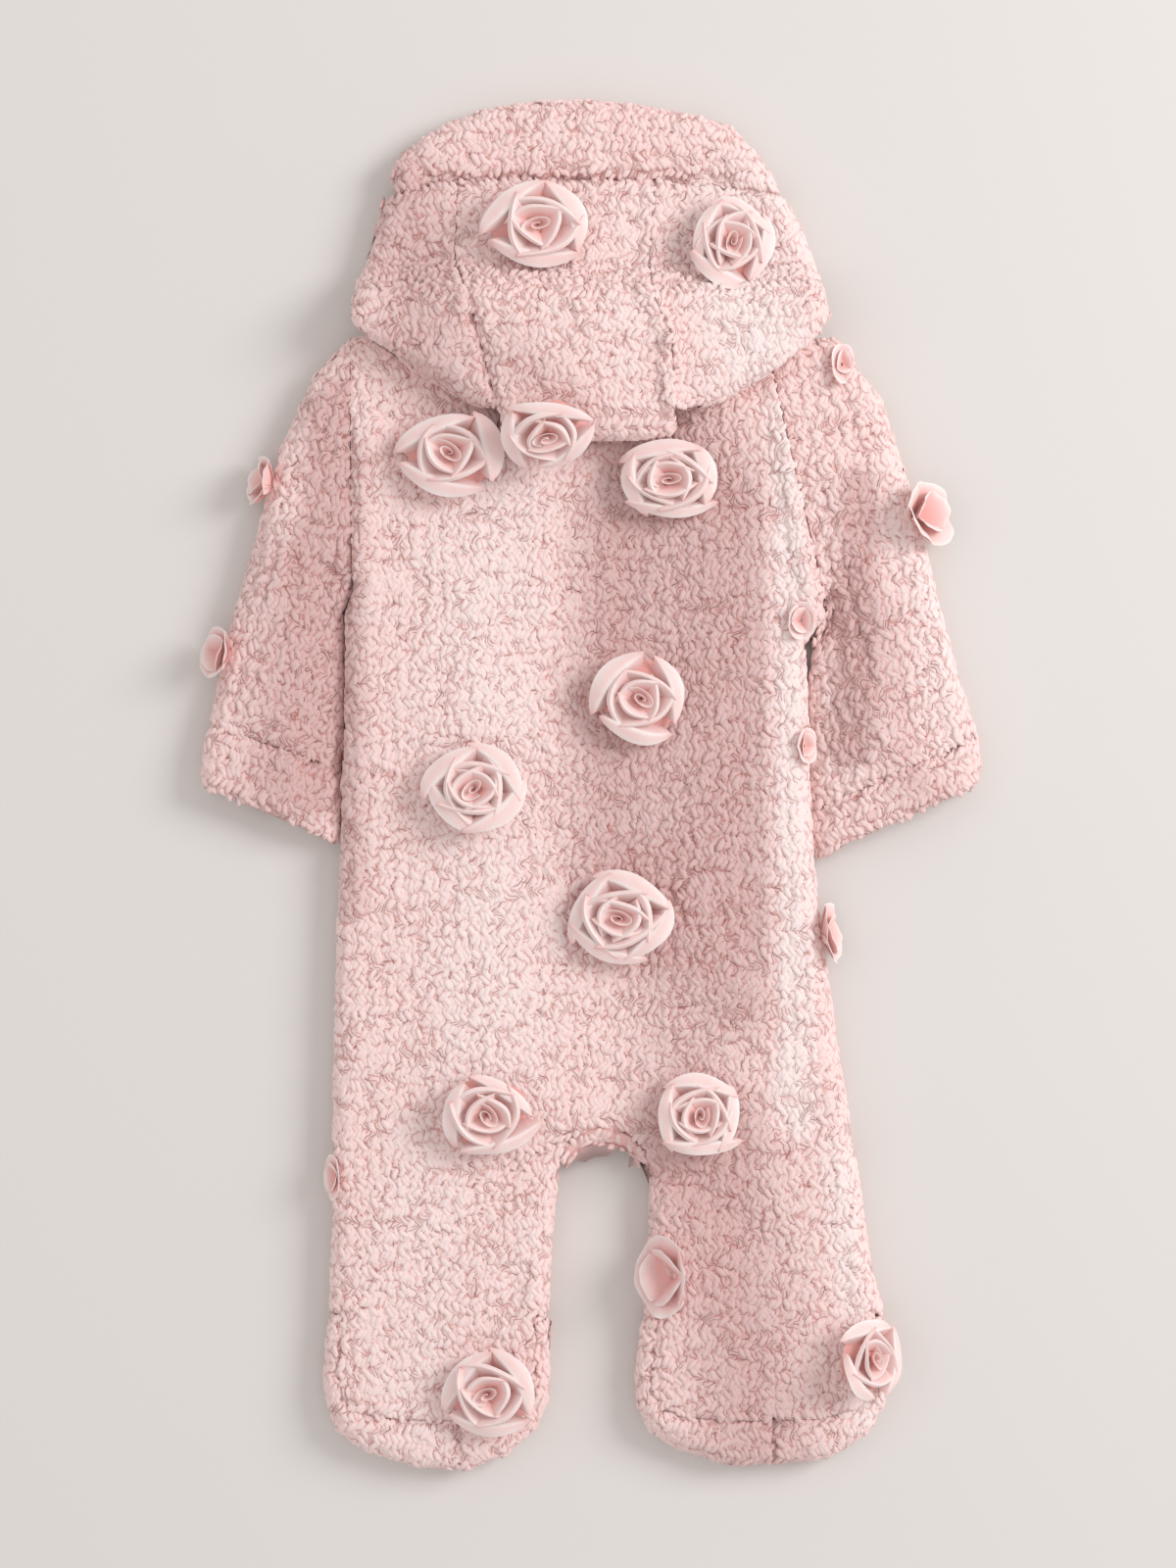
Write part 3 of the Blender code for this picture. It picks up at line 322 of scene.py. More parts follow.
# Painted light and shade on the pile: bands painted darker, minus, where shade falls, and paler, plus, where
# light falls, each from a start to an end
PAINTED_SHADING_BANDS = table(
    "on x0 y0 x1 y1 reach nap",
    ("body", 42.0, 168.0, 46.0, -60.0, 62.0, -1.0),
    ("body", 4.0, 125.0, 2.0, -40.0, 40.0, -0.8),
    ("body", 76.0, 140.0, 80.0, -110.0, 36.0, -0.8),
    ("body", 46.0, -60.0, 52.0, -190.0, 46.0, -0.7),
    ("body", -50.0, 160.0, -50.0, -140.0, 56.0, 0.75),
    ("body", 100.0, 190.0, 104.0, -170.0, 17.0, 1.5),
    ("body", -122.0, 170.0, -122.0, -60.0, 15.0, -0.9),
    ("body", 62.0, -190.0, 82.0, -330.0, 55.0, -1.2),
    ("body", 126.0, -190.0, 140.0, -320.0, 14.0, 1.2),
    ("body", -80.0, -190.0, -84.0, -320.0, 44.0, 0.5),
    ("body", -30.0, -230.0, -50.0, -300.0, 16.0, 0.4),
    ("hood", -96.0, 300.0, -78.0, 190.0, 44.0, -1.0),
    ("hood", 20.0, 290.0, 20.0, 230.0, 30.0, 0.4),
    ("hood", 74.0, 290.0, 84.0, 220.0, 44.0, 1.3),
    ("hood", -40.0, 215.0, -10.0, 190.0, 24.0, -0.6),
    ("sleeve", -134.0, 190.0, -136.0, 0.0, 22.0, -1.6),
    ("sleeve", -150.0, 110.0, -158.0, 0.0, 40.0, -1.1),
    ("sleeve", -118.0, 200.0, -122.0, 125.0, 22.0, -1.6),
    ("sleeve", 136.0, 150.0, 132.0, 20.0, 18.0, -1.6),
    ("sleeve", 166.0, 150.0, 178.0, 20.0, 26.0, 0.8),
    ("sleeve", 150.0, 80.0, 165.0, 0.0, 34.0, -0.7),
)

PAINTED_SHADE_LOW = -1.2  # the deepest painted shade, where bands cross

# The zip, in the middle of the garment's underside
ZIP_X = 2.0
ZIP_TROUGH = 7.0  # each front stops this far from its middle
ZIP_END_Y = -152.0


def srgb(code):
    """A hex colour turned linear, with alpha 1."""
    found = []
    for i in (1, 3, 5):
        level = int(code[i:i + 2], 16) / 255
        found.append(level / 12.92 if level <= 0.04045 else ((level + 0.055) / 1.055) ** 2.4)
    return (*found, 1.0)


# ---------------------------------------------------------------- the lie of the cloth


def smooth(share):
    """A share from 0 to 1, eased at both ends."""
    share = np.clip(share, 0, 1)
    return share * share * (3 - 2 * share)


def lerp(a, b, share):
    """Between two points or rows of points."""
    return np.asarray(a, float) + (np.asarray(b, float) - np.asarray(a, float)) * share


def along(rows, y, column="x"):
    """The column's value at y, in a table whose rows run down from the highest y."""
    ys = [row.y for row in reversed(rows)]
    values = [getattr(row, column) for row in reversed(rows)]
    return np.interp(y, ys, values)


def plan_points(rows, kind=""):
    """The rows' points: x and y, or those of a kind, such as edge, seam, outer or inner."""
    columns = (f"{kind}_x", f"{kind}_y") if kind else ("x", "y")
    return [tuple(getattr(row, column) for column in columns) for row in rows]


def edge_runs(lines):
    """(starts, runs) of all the straight stretches of some folded edges."""
    starts = np.array([p for line in lines for p in line[:-1]], float)
    ends = np.array([p for line in lines for p in line[1:]], float)
    return starts, ends - starts


BATCH = 20000  # points worked out at a time
TIE = 0.01  # edges that are nearest to within this all count, as at a corner
ON_EDGE = 0.05  # a point as near as this to an edge goes in to the edge's left
TINY = 1e-9


def nearest(lines, plan):
    """(distance, way in) from the nearest folded edge. Each line has its cloth on the left."""
    starts, runs = edge_runs(lines)
    lengths = np.hypot(*runs.T)
    lefts = np.stack([-runs[:, 1], runs[:, 0]], 1) / lengths[:, None]
    distance = np.empty(len(plan))
    way = np.empty((len(plan), 2))
    for i in range(0, len(plan), BATCH):
        part = plan[i:i + BATCH, None, :] - starts[None]
        share = np.clip((part * runs[None]).sum(2) / lengths**2, 0, 1)
        away = part - share[..., None] * runs[None]
        gaps = np.hypot(away[..., 0], away[..., 1])
        least = gaps.min(1)
        chosen = away[np.arange(len(gaps)), gaps.argmin(1)]
        ways = ((gaps < least[:, None] + TIE)[..., None] * lefts[None]).sum(1)
        ways = np.where(least[:, None] > ON_EDGE, chosen, ways)
        distance[i:i + BATCH] = least
        way[i:i + BATCH] = ways / np.maximum(np.hypot(*ways.T), TINY)[:, None]
    return distance, way


def banded(rows, on, plan, column):
    """The sum of a table's bands at each point: full on a band's line, and fading over its reach."""
    total = np.zeros(len(plan))
    for row in rows:
        if row.on == on:
            start = np.array([row.x0, row.y0])
            run = np.array([row.x1, row.y1]) - start
            share = np.clip(((plan - start) @ run) / (run @ run), 0, 1)
            away = np.hypot(*(plan - start - share[:, None] * run).T)
            total += getattr(row, column) * smooth(1 - away / row.reach)
    return total


def painted_shading_at(on, plan):
    """Painted light and shade on the pile: how much paler, plus, or darker, minus, its colour is painted."""
    return np.clip(banded(PAINTED_SHADING_BANDS, on, plan, "nap"), PAINTED_SHADE_LOW, None)


def hood_base(y):
    """Height of what the hood lies on: the body's back, then the floor beyond the shoulders."""
    return (THICK + SEAM) * smooth((RAMP_FOOT_Y - y) / (RAMP_FOOT_Y - RAMP_TOP_Y))


class Part:
    """One flat part of the garment: its folded edges, and the two layers between them."""

    def __init__(self, kind, lines, base=None, pressed=None):
        self.kind = kind
        self.lines = lines
        self.base = base
        self.pressed = pressed

    def layer(self, plan, side, press=None):
        """(outer points, outward normals, cloth coordinates) on the layer that side names."""
        distance, way = nearest(self.lines, plan)
        flat = np.clip(1 - distance / ROUND, 0, 1)
        rise = np.sqrt(1 - flat * flat)
        normal = np.column_stack([-way * (MID * flat)[:, None], side * ROUND * rise])
        normal /= np.linalg.norm(normal, axis=1)[:, None]
        outer = np.column_stack([plan, MID + side * MID * rise])
        lift = self.base(plan[:, 1]) if self.base else np.zeros(len(plan))
        lift = lift + np.where(side > 0, banded(FOLDS, self.kind, plan, "lift") * rise, 0)
        squash = np.ones(len(plan))
        if self.pressed and press is not None:
            squash = 1 - press * smooth(1 - nearest(self.pressed, plan)[0] / PRESS_REACH)
        outer[:, 2] = outer[:, 2] * squash + lift
        # The cloth is laid out flat round the folded edge, so that its pile runs on over it.
        angle = np.arcsin(flat)
        under = ROUND * (math.pi - angle) + np.maximum(distance - ROUND, 0)
        reach = np.where(side > 0, ROUND * angle, under)
        inside = np.where(side > 0, np.minimum(ROUND - distance, 0), 0)
        shift = reach + inside - (ROUND - distance)
        cloth = plan - way * shift[:, None]
        return outer, normal, cloth


def side_x(rows, shoulder, y):
    """The body's side edge at y: by its table, and straight from there up to the shoulder."""
    top = rows[0]
    share = (y - top.y) / (shoulder[1] - top.y)
    return np.where(y <= top.y, along(rows, y), top.x + (shoulder[0] - top.x) * share)


left_x = functools.partial(side_x, LEFT_SIDE, LEFT_SHOULDER)
right_x = functools.partial(side_x, RIGHT_SIDE, RIGHT_SHOULDER)


def top_y(x, neck_y):
    """The shoulder seams and the neck edge between them."""
    left = (x - LEFT_SHOULDER[0]) / (-NECK_HALF - LEFT_SHOULDER[0])
    right = (RIGHT_SHOULDER[0] - x) / (RIGHT_SHOULDER[0] - NECK_HALF)
    side = np.where(x < 0, left, right)
    shoulder = LEFT_SHOULDER[1] + (NECK_SIDE_Y - LEFT_SHOULDER[1]) * side
    neck = neck_y + (NECK_SIDE_Y - neck_y) * (x / NECK_HALF) ** 2
    return np.where(np.abs(x) > NECK_HALF, shoulder, neck)


def arch_point(turn, depth, clear=0.0):
    """A point round the arch between the legs, by degrees, at a depth that is full at its top."""
    angle = np.radians(turn)
    radius = ARCH_R + depth * np.sin(angle) ** 2 + clear
    return np.stack([ARCH_X + radius * np.cos(angle), ARCH_Y + radius * np.sin(angle)], -1)


def body_edges():
    shoulders = [
        [(-NECK_HALF, NECK_SIDE_Y), LEFT_SHOULDER],
        [RIGHT_SHOULDER, (NECK_HALF, NECK_SIDE_Y)],
    ]
    line = plan_points(LEFT_SIDE) + plan_points(LEFT_FOOT, "edge")
    line += [(row.left, row.y) for row in reversed(INNER_LEGS)]
    line += [tuple(point) for point in arch_point(np.arange(165, 0, -15), 0)]
    line += [(row.right, row.y) for row in INNER_LEGS]
    line += plan_points(RIGHT_FOOT, "edge") + plan_points(RIGHT_SIDE)[::-1]
    return shoulders + [line]


def hood_edges():
    line = plan_points(HOOD_LEFT_EDGE) + plan_points(HOOD_BOTTOM)
    line += plan_points(HOOD_RIGHT_EDGE)[::-1] + plan_points(HOOD_TOP)
    return [line + line[:1]]


def sleeve_part(sleeve, cuff, on_left):
    outer = plan_points(sleeve + cuff, "outer")
    inner = plan_points(sleeve + cuff, "inner")
    lines = [outer, inner[::-1]] if on_left else [outer[::-1], inner]
    return Part("sleeve", lines, pressed=[inner])


BODY = Part("body", body_edges())
HOOD = Part("hood", hood_edges(), base=hood_base)
SLEEVES = {
    "left": sleeve_part(LEFT_SLEEVE, LEFT_CUFF, True),
    "right": sleeve_part(RIGHT_SLEEVE, RIGHT_CUFF, False),
}


# ---------------------------------------------------------------- the pile


def scatter(i, j, seed):
    """A number from 0 to 1 for each cell of a grid, the same on every run."""
    value = np.sin(i * 12.9898 + j * 78.233 + seed * 37.719) * 43758.5453
    return value - np.floor(value)


def varied(cell, middle, span, seed):
    """A value for each cell that strays about a middle one."""
    return middle + span * (scatter(*cell, seed) - 0.5)


# The curls, and the sheet that they stand on
CURL_WIDE = 2.7
CURL_LONG = 5.3
CURL_TALL = 0.92
CURL_SWAY = 1.6  # how far the columns of curls swing from side to side
CURL_STRAY = 0.62  # how widely, in cells, curls stray about the middles of their cells
CURL_FOUND = 0.35  # a curl is made if a point of the grid lies as near as this, in cells
CURL_SIDES = 6
# A curl's rings from its foot to its crown: how far out, how high, and how pale it is painted, from painted
# shade at the foot to painted light at the crown
CURL_RINGS = ((1.0, -0.5, 0.25), (0.97, 0.30, 0.5), (0.64, 0.82, 0.88))
# How curls vary: a middle value, how widely they stray about it, and a seed
CURL_SLANTS = (32, 14, 41)  # degrees off the pile's way, to one side and the other in turn
CURL_LENGTHS = (1.42, 0.40, 43)  # these three are shares of the usual size
CURL_WIDTHS = (1.26, 0.30, 44)
CURL_HEIGHTS = (1.0, 0.35, 45)
CURL_BENDS = (0.0, 1.7, 46)
CURL_TURN = 34  # degrees that each curl strays besides
ROUND_EDGE = 0.35  # how strongly the pile runs round an edge that faces along the garment
CURL_SINK = 0.3  # how far the curls' feet lie below the height of the tufts
CURL_PAINTED_SHADE, CURL_PAINTED_LIGHT = 0.72, 0.40  # painted shade of the lowest curls, and how much paler the highest are painted, as if lit
MESH_CURLS = 6400  # the most curls in one mesh
SHEET_RISE = 0.12  # how far the sheet between the curls stands above the height of the tufts
SHEET_SHARE = 2.1  # how much wider apart the sheet's points stand than the curls are looked for
SHEET_PAINTED_SHADE = 0.12  # how pale the sheet is painted there, from 0 to 1: low, as painted shade down between the curls
UNDERSIDE = -0.8  # there are no curls where the normal's height is less than this
CORD_PITCH = 7.4  # from one wavy cord of tufts to the next

# Slow, smooth drifts: how far, over how wide and how long a patch, and the seed
CORD_DRIFTS = ((5, 24, 30, 4),)
ACROSS_DRIFTS = ((8, 13, 15, 21), (2.4, 5, 6, 22))
DOWN_DRIFTS = ((8, 15, 12, 23), (3.4, 4.5, 8, 24))
PUFF_DRIFTS = ((1.6, 42, 55, 6), (1.0, 19, 23, 7))


def soft_noise(u, v, seed):
    """Smooth noise from 0 to 1 with features one unit across."""
    i, j = np.floor(u), np.floor(v)
    f, g = smooth(u - i), smooth(v - j)
    low = scatter(i, j, seed) * (1 - f) + scatter(i + 1, j, seed) * f
    high = scatter(i, j + 1, seed) * (1 - f) + scatter(i + 1, j + 1, seed) * f
    return low * (1 - g) + high * g


def drifted(start, place, drifts):
    """A measure of the cloth, moved by its drifts."""
    u, v = place.T
    for by, wide, long, seed in drifts:
        start = start + by * (soft_noise(u / wide, v / long, seed) - 0.5)
    return start


def puff(plan):
    """Broad unevenness of thick cloth that lies loosely, in millimetres."""
    return drifted(0.0, plan, PUFF_DRIFTS)


def tufts(cloth, cords):
    """Height of the pile's tufts, from 0 to 1: loose clumps, drawn into wavy cords by a share."""
    u, v = cloth.T
    clumps = 0.6 * soft_noise(u / 5.2, v / 6.0, 1) + 0.4 * soft_noise(u / 3.1 + 9, v / 3.4, 2)
    sway = 2.4 * np.abs((v / 15 + soft_noise(u / 22, v / 26, 3)) % 1 * 2 - 1)
    sway = drifted(sway, cloth, CORD_DRIFTS)
    ridge = 0.5 + 0.5 * np.sin((u + sway) * 2 * math.pi / CORD_PITCH)
    ridge = ridge * (0.6 + 0.4 * soft_noise(u / 6, v / 5, 5))
    return clumps * (1 - cords) + (0.35 * clumps + 0.65 * ridge) * cords


def curl_field(cloth):
    """(cell, distance) of the curl nearest to each point, in rows that lean one way, then the other."""
    across, down = drifted(cloth[:, 0], cloth, ACROSS_DRIFTS), drifted(cloth[:, 1], cloth, DOWN_DRIFTS)
    across = across + CURL_SWAY * np.abs(down / (2 * CURL_LONG) % 1 * 2 - 1)
    x, y = across / CURL_WIDE, down / CURL_LONG
    i, j = np.floor(x), np.floor(y)
    best = np.full(len(cloth), 9.0)
    cell = np.zeros((len(cloth), 2))
    for di in (-1, 0, 1):
        for dj in (-1, 0, 1):
            a, b = i + di, j + dj
            gap_x = x - a - 0.5 - varied((a, b), 0.0, CURL_STRAY, 31)
            gap_y = y - b - 0.5 - varied((a, b), 0.0, CURL_STRAY, 32)
            gap = np.hypot(gap_x, gap_y)
            nearer = gap < best
            best = np.where(nearer, gap, best)
            cell[nearer] = np.stack([a, b], 1)[nearer]
    return cell, best


def curl_meshes(name, coat, turn, spots):
    """The curls of one sheet: a small rounded grain on each, in meshes of a bounded size.

    spots holds what is known of every point where a curl may stand."""
    cell, gap = curl_field(spots["cloth"])
    _, group = np.unique(cell, axis=0, return_inverse=True)
    group = group.reshape(-1)
    order = np.lexsort((gap, group))
    first = order[np.concatenate([[True], np.diff(group[order]) > 0])]
    first = first[gap[first] < CURL_FOUND]
    made = []
    for start in range(0, len(first), MESH_CURLS):
        chosen = first[start:start + MESH_CURLS]
        own = {key: values[chosen] for key, values in spots.items()}
        made.append(curl_mesh(f"{name}_{start // MESH_CURLS + 1}", coat, turn, cell[chosen], **own))
    return made


def curl_faces():
    """The triangles of one curl: round each of its rings, and up to its crown."""
    faces = []
    for r in range(len(CURL_RINGS) - 1):
        for k in range(CURL_SIDES):
            n = (k + 1) % CURL_SIDES
            low, high = r * CURL_SIDES, (r + 1) * CURL_SIDES
            faces += [(low + k, high + n, low + n), (low + k, high + k, high + n)]
    top, crown = (len(CURL_RINGS) - 1) * CURL_SIDES, len(CURL_RINGS) * CURL_SIDES
    faces += [(top + (k + 1) % CURL_SIDES, top + k, crown) for k in range(CURL_SIDES)]
    return np.array(faces)


def pile_ways(normal, turn, slant):
    """(along, across): the way that each curl lies, and its other way, both in the cloth."""
    # The pile runs down the cloth: its way is read from the normal and the garment's length.
    way = np.array([-math.sin(turn), math.cos(turn), 0.0])
    facing = (normal @ way)[:, None]
    down = way - normal * facing
    # On an edge that faces along the garment the pile runs round the edge instead.
    up = np.array([0.0, 0.0, 1.0]) - normal * normal[:, 2:]
    down = down - ROUND_EDGE * facing * np.abs(facing) * up
    down /= np.maximum(np.linalg.norm(down, axis=1), 0.2)[:, None]
    across = np.cross(down, normal)
    long_way = down * np.cos(slant)[:, None] + across * np.sin(slant)[:, None]
    return long_way, np.cross(long_way, normal)


def curl_mesh(name, coat, turn, cell, outer, normal, cloth, lift, depth, nap):
    """Curls in one mesh. Each is a stack of rings on the spot's outer point, bent a little."""
    at = cell.T
    slant = np.where(np.abs(at[1] % 2) < 0.5, 1.0, -1.0) * np.radians(varied(at, *CURL_SLANTS))
    slant = slant + varied(at, 0.0, math.radians(CURL_TURN), 42)
    long_way, wide_way = pile_ways(normal, turn, slant)
    long_half = 0.5 * CURL_LONG * varied(at, *CURL_LENGTHS)
    wide_half = 0.5 * CURL_WIDE * varied(at, *CURL_WIDTHS)
    tall = CURL_TALL * varied(at, *CURL_HEIGHTS)
    bend = varied(at, *CURL_BENDS)
    centre = outer + normal * lift[:, None]
    turns = 2 * math.pi * np.arange(CURL_SIDES) / CURL_SIDES
    rings, shades = [], []
    for out, rise, shade in CURL_RINGS:
        x, y = out * np.cos(turns)[None], out * np.sin(turns)[None]
        ahead = (long_half[:, None] * x)[..., None] * long_way[:, None]
        over = (wide_half[:, None] * y + bend[:, None] * (x * x - 0.4))[..., None] * wide_way[:, None]
        above = (tall[:, None] * rise * np.ones_like(x))[..., None] * normal[:, None]
        rings.append(centre[:, None] + ahead + over + above)
        # Painted shade: each ring is painted deeper towards the curl's foot, and the whole curl paler the
        # higher it stands.
        shades.append(shade * np.ones_like(x) * depth[:, None])
    crown = centre + normal * tall[:, None] - wide_way * (0.4 * bend)[:, None]
    points = np.concatenate([*rings, crown[:, None]], 1)
    shade = np.concatenate([*shades, depth[:, None]], 1)
    size = points.shape[1]
    faces = curl_faces()[None] + size * np.arange(len(points))[:, None, None]
    flat = points.reshape(-1, 3)
    flat[:, 2] = np.maximum(flat[:, 2], FLOOR_GAP)
    made = triangle_object(name, flat * MM, faces.reshape(-1, 3), coat)
    spread = np.repeat(np.column_stack([cloth, np.zeros(len(cloth))]), size, 0)
    spread[:, :2] += (points - centre[:, None]).reshape(-1, 3)[:, :2]
    # The tuft measure carries the painted shade; the other carries the banded painted light and shade.
    give(made, cloth=spread, tuft=shade.ravel(), nap=np.repeat(nap, size))
    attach(made, GARMENT)
    "hem_fleece" if "hem" in name else "fleece"
    return made


def give(made, **measures):
    """Named numbers, or vectors, for every point of a mesh."""
    for name, values in measures.items():
        kind, key = ("FLOAT_VECTOR", "vector") if values.ndim > 1 else ("FLOAT", "value")
        held = made.data.attributes.new(name, kind, "POINT")
        held.data.foreach_set(key, values.astype(np.float32).ravel())


def dressed(name, data, coat):
    """The object of a mesh, with its material, shaded smooth."""
    data.materials.append(coat)
    data.shade_smooth()
    made = bpy.data.objects.new(name, data)
    bpy.context.scene.collection.objects.link(made)
    return made


def triangle_object(name, points, triangles, coat):
    """An object of many triangles, filled in at once because from_pydata is slow with them."""
    data = bpy.data.meshes.new(name)
    data.vertices.add(len(points))
    data.vertices.foreach_set("co", points.astype(np.float32).ravel())
    data.loops.add(triangles.size)
    data.loops.foreach_set("vertex_index", triangles.astype(np.int32).ravel())
    data.polygons.add(len(triangles))
    data.polygons.foreach_set("loop_start", np.arange(0, triangles.size, 3, dtype=np.int32))
    data.update(calc_edges=True)
    return dressed(name, data, coat)


def mesh_object(name, points, faces, coat):
    data = bpy.data.meshes.new(name)
    data.from_pydata([tuple(point) for point in points], [], faces)
    data.validate()
    return dressed(name, data, coat)


# ---------------------------------------------------------------- sheets of cloth


def steps(length, pitch, least=2):
    return max(least, int(round(length / pitch)))


def from_edge(depth, curl_steps, flat_steps):
    """Distances from a folded edge: fine round the fold, then even to the depth."""
    reach = np.minimum(ROUND, 0.6 * depth)
    turns = np.linspace(0, math.pi / 2, curl_steps + 1)
    near = reach * (1 - np.cos(turns))
    far = reach + (depth - reach) * np.linspace(0, 1, flat_steps + 1)[1:]
    return np.concatenate([near, far])


def every(count, stride, keep=()):
    """Every few rows, with the first, the last and those that must stay."""
    return sorted(set(range(0, count, stride)) | {count - 1} | {k % count for k in keep})


class Grid:
    """A patch of cloth by rows and columns, in plan, with the layer each point is on."""

    def __init__(self, plan, side, press=None, ring=False, keep_rows=(), keep_columns=()):
        self.plan = np.asarray(plan, float)
        self.side = np.broadcast_to(side, self.plan.shape[:2]).astype(float)
        self.press = None if press is None else np.broadcast_to(press, self.plan.shape[:2])
        self.ring = ring
        self.keep_rows = keep_rows
        self.keep_columns = keep_columns


RIM_REACH = 6.0  # how far from a sheet's border its distance is looked up
RIM_FADE = 5.0  # and how wide the sunken seam along it is
CURL_RIM = 0.9  # curls stand at least this far in from the border
TUFT_MIDDLE = 0.55  # the tuft that lies at the solid's own height
LOW_LIFT = 0.25  # the most that tufts stand out on the side that lies down
LOW_SHARE = 0.3  # and how much of the cloth's unevenness that side has
LOW_Z = 3.0  # curls nearer to the floor than this are pressed into the sheet
LOW_CURL = -1.2  # as far as this
INNER_DEPTH = WALL - 0.4  # from the solid's face to the sheet's inner layer
INNER_TUFT = 0.4
SHEET_STRIDE, CURL_STRIDE = 7, 9  # fine rows to one row of the plain inner layer
VOTES = 400  # faces that are asked which way they look


def rim_gap(outer, lines):
    """Distance from the sheet's own border, for points within reach of it."""
    found = np.full(len(outer), RIM_REACH)
    for line in lines:
        starts, ends = outer[line[:-1]], outer[line[1:]]
        for start, end in zip(starts, ends):
            box = (np.abs(outer - (start + end) / 2) < RIM_REACH + np.linalg.norm(end - start)).all(1)
            near = outer[box]
            run = end - start
            share = np.clip(((near - start) @ run) / max(run @ run, TINY), 0, 1)
            gap = np.linalg.norm(near - start - share[:, None] * run, axis=1)
            found[box] = np.minimum(found[box], gap)
    return found


Laid = namedtuple(
    "Laid", "plan side outer base normal cloth relief lift edge gap index cells paths at wrap"
)


def lay(grid, part, pile, cords=0.5, groove=0.9, grounded=False, stride=SHEET_STRIDE, turn=0.0):
    """Lays a grid out on its part, with the lift of its tufts, furrows and sunken seams."""
    rows, columns = grid.plan.shape[:2]
    flat_plan = grid.plan.reshape(-1, 2)
    there = ~np.isnan(flat_plan[:, 0])
    index = np.full(rows * columns, -1)
    index[there] = np.arange(there.sum())
    index = index.reshape(rows, columns)
    plan, side = flat_plan[there], grid.side.reshape(-1)[there]
    press = None if grid.press is None else grid.press.reshape(-1)[there]
    outer, normal, cloth = part.layer(plan, side, press)
    base = outer.copy()
    cloth = turned(cloth, turn)

    wrap = columns if grid.ring else 0
    coarse_rows = every(rows, stride, grid.keep_rows)
    coarse_columns = every(columns, stride, grid.keep_columns)
    if grid.ring:
        coarse_columns = [c for c in coarse_columns if c < columns - 1 or (columns - 1) % stride > 2]
        coarse_columns.append(columns)

    def at(r, c):
        return index[r, c % columns] if wrap else index[r, c]

    def path(a, b):
        """The outer points from one coarse point to the next, along a row or a column."""
        (r0, c0), (r1, c1) = a, b
        count = max(abs(r1 - r0), abs(c1 - c0))
        return [at(r0 + (r1 - r0) * i // count, c0 + (c1 - c0) * i // count) for i in range(count + 1)]

    cells = []
    for r0, r1 in zip(coarse_rows, coarse_rows[1:]):
        for c0, c1 in zip(coarse_columns, coarse_columns[1:]):
            corners = [(r0, c0), (r1, c0), (r1, c1), (r0, c1)]
            if min(at(*corner) for corner in corners) >= 0:
                cells.append(corners)
    directed = {}
    for corners in cells:
        for a, b in zip(corners, corners[1:] + corners[:1]):
            key = tuple((r, c % columns if wrap else c) for r, c in (a, b))
            directed[key] = (a, b)
    border = [pair for (a, b), pair in directed.items() if (b, a) not in directed]
    paths = [path(a, b) for a, b in border]

    gap = rim_gap(base, paths)
    edge = smooth(1 - gap / RIM_FADE)
    relief = tufts(cloth, cords)
    lift = pile * (relief - TUFT_MIDDLE) - groove * edge
    lift += np.where(side > 0, puff(plan), LOW_SHARE * puff(plan)) * (1 - edge)
    if grounded:
        lift = np.where(outer[:, 2] < MID, np.minimum(lift, LOW_LIFT), lift)
    surface = (plan, side, outer, base, normal, cloth, relief, lift, edge, gap)
    return Laid(*surface, index, cells, paths, at, wrap)


def covered(laid):
    """Where the curls hide the sheet: everywhere but on the flat underside."""
    return laid.normal[:, 2] > UNDERSIDE


def painted_shading_of(laid, part):
    """The painted light and shade where the cloth shows; the side that lies down has none."""
    return np.where(laid.side > 0, painted_shading_at(part.kind, laid.plan), 0.0)


def pelt(name, make_grid, part, pile, coats, pitch, **lie):
    """A sheet of fleece and the curls that stand on it."""
    made = sheet(name, lay(make_grid(SHEET_SHARE * pitch), part, pile, **lie), part, coats[0])
    laid = lay(make_grid(pitch), part, pile, **{**lie, "stride": CURL_STRIDE})
    keep = covered(laid) & (laid.gap > CURL_RIM)
    lift = laid.lift - CURL_SINK
    if lie.get("grounded"):
        lift = np.where(laid.outer[:, 2] < LOW_Z, LOW_CURL, lift)
    # The curls' depth is painted shade, paler on higher tufts as if lit; the bands paint light and shade
    # over them.
    spots = {
        "outer": laid.outer, "normal": laid.normal, "cloth": laid.cloth,
        "lift": lift, "depth": CURL_PAINTED_SHADE + CURL_PAINTED_LIGHT * laid.relief, "nap": painted_shading_of(laid, part),
    }
    spots = {key: values[keep] for key, values in spots.items()}
    return made, curl_meshes(f"{name}_curls", coats[1], math.radians(lie.get("turn", 0.0)), spots)


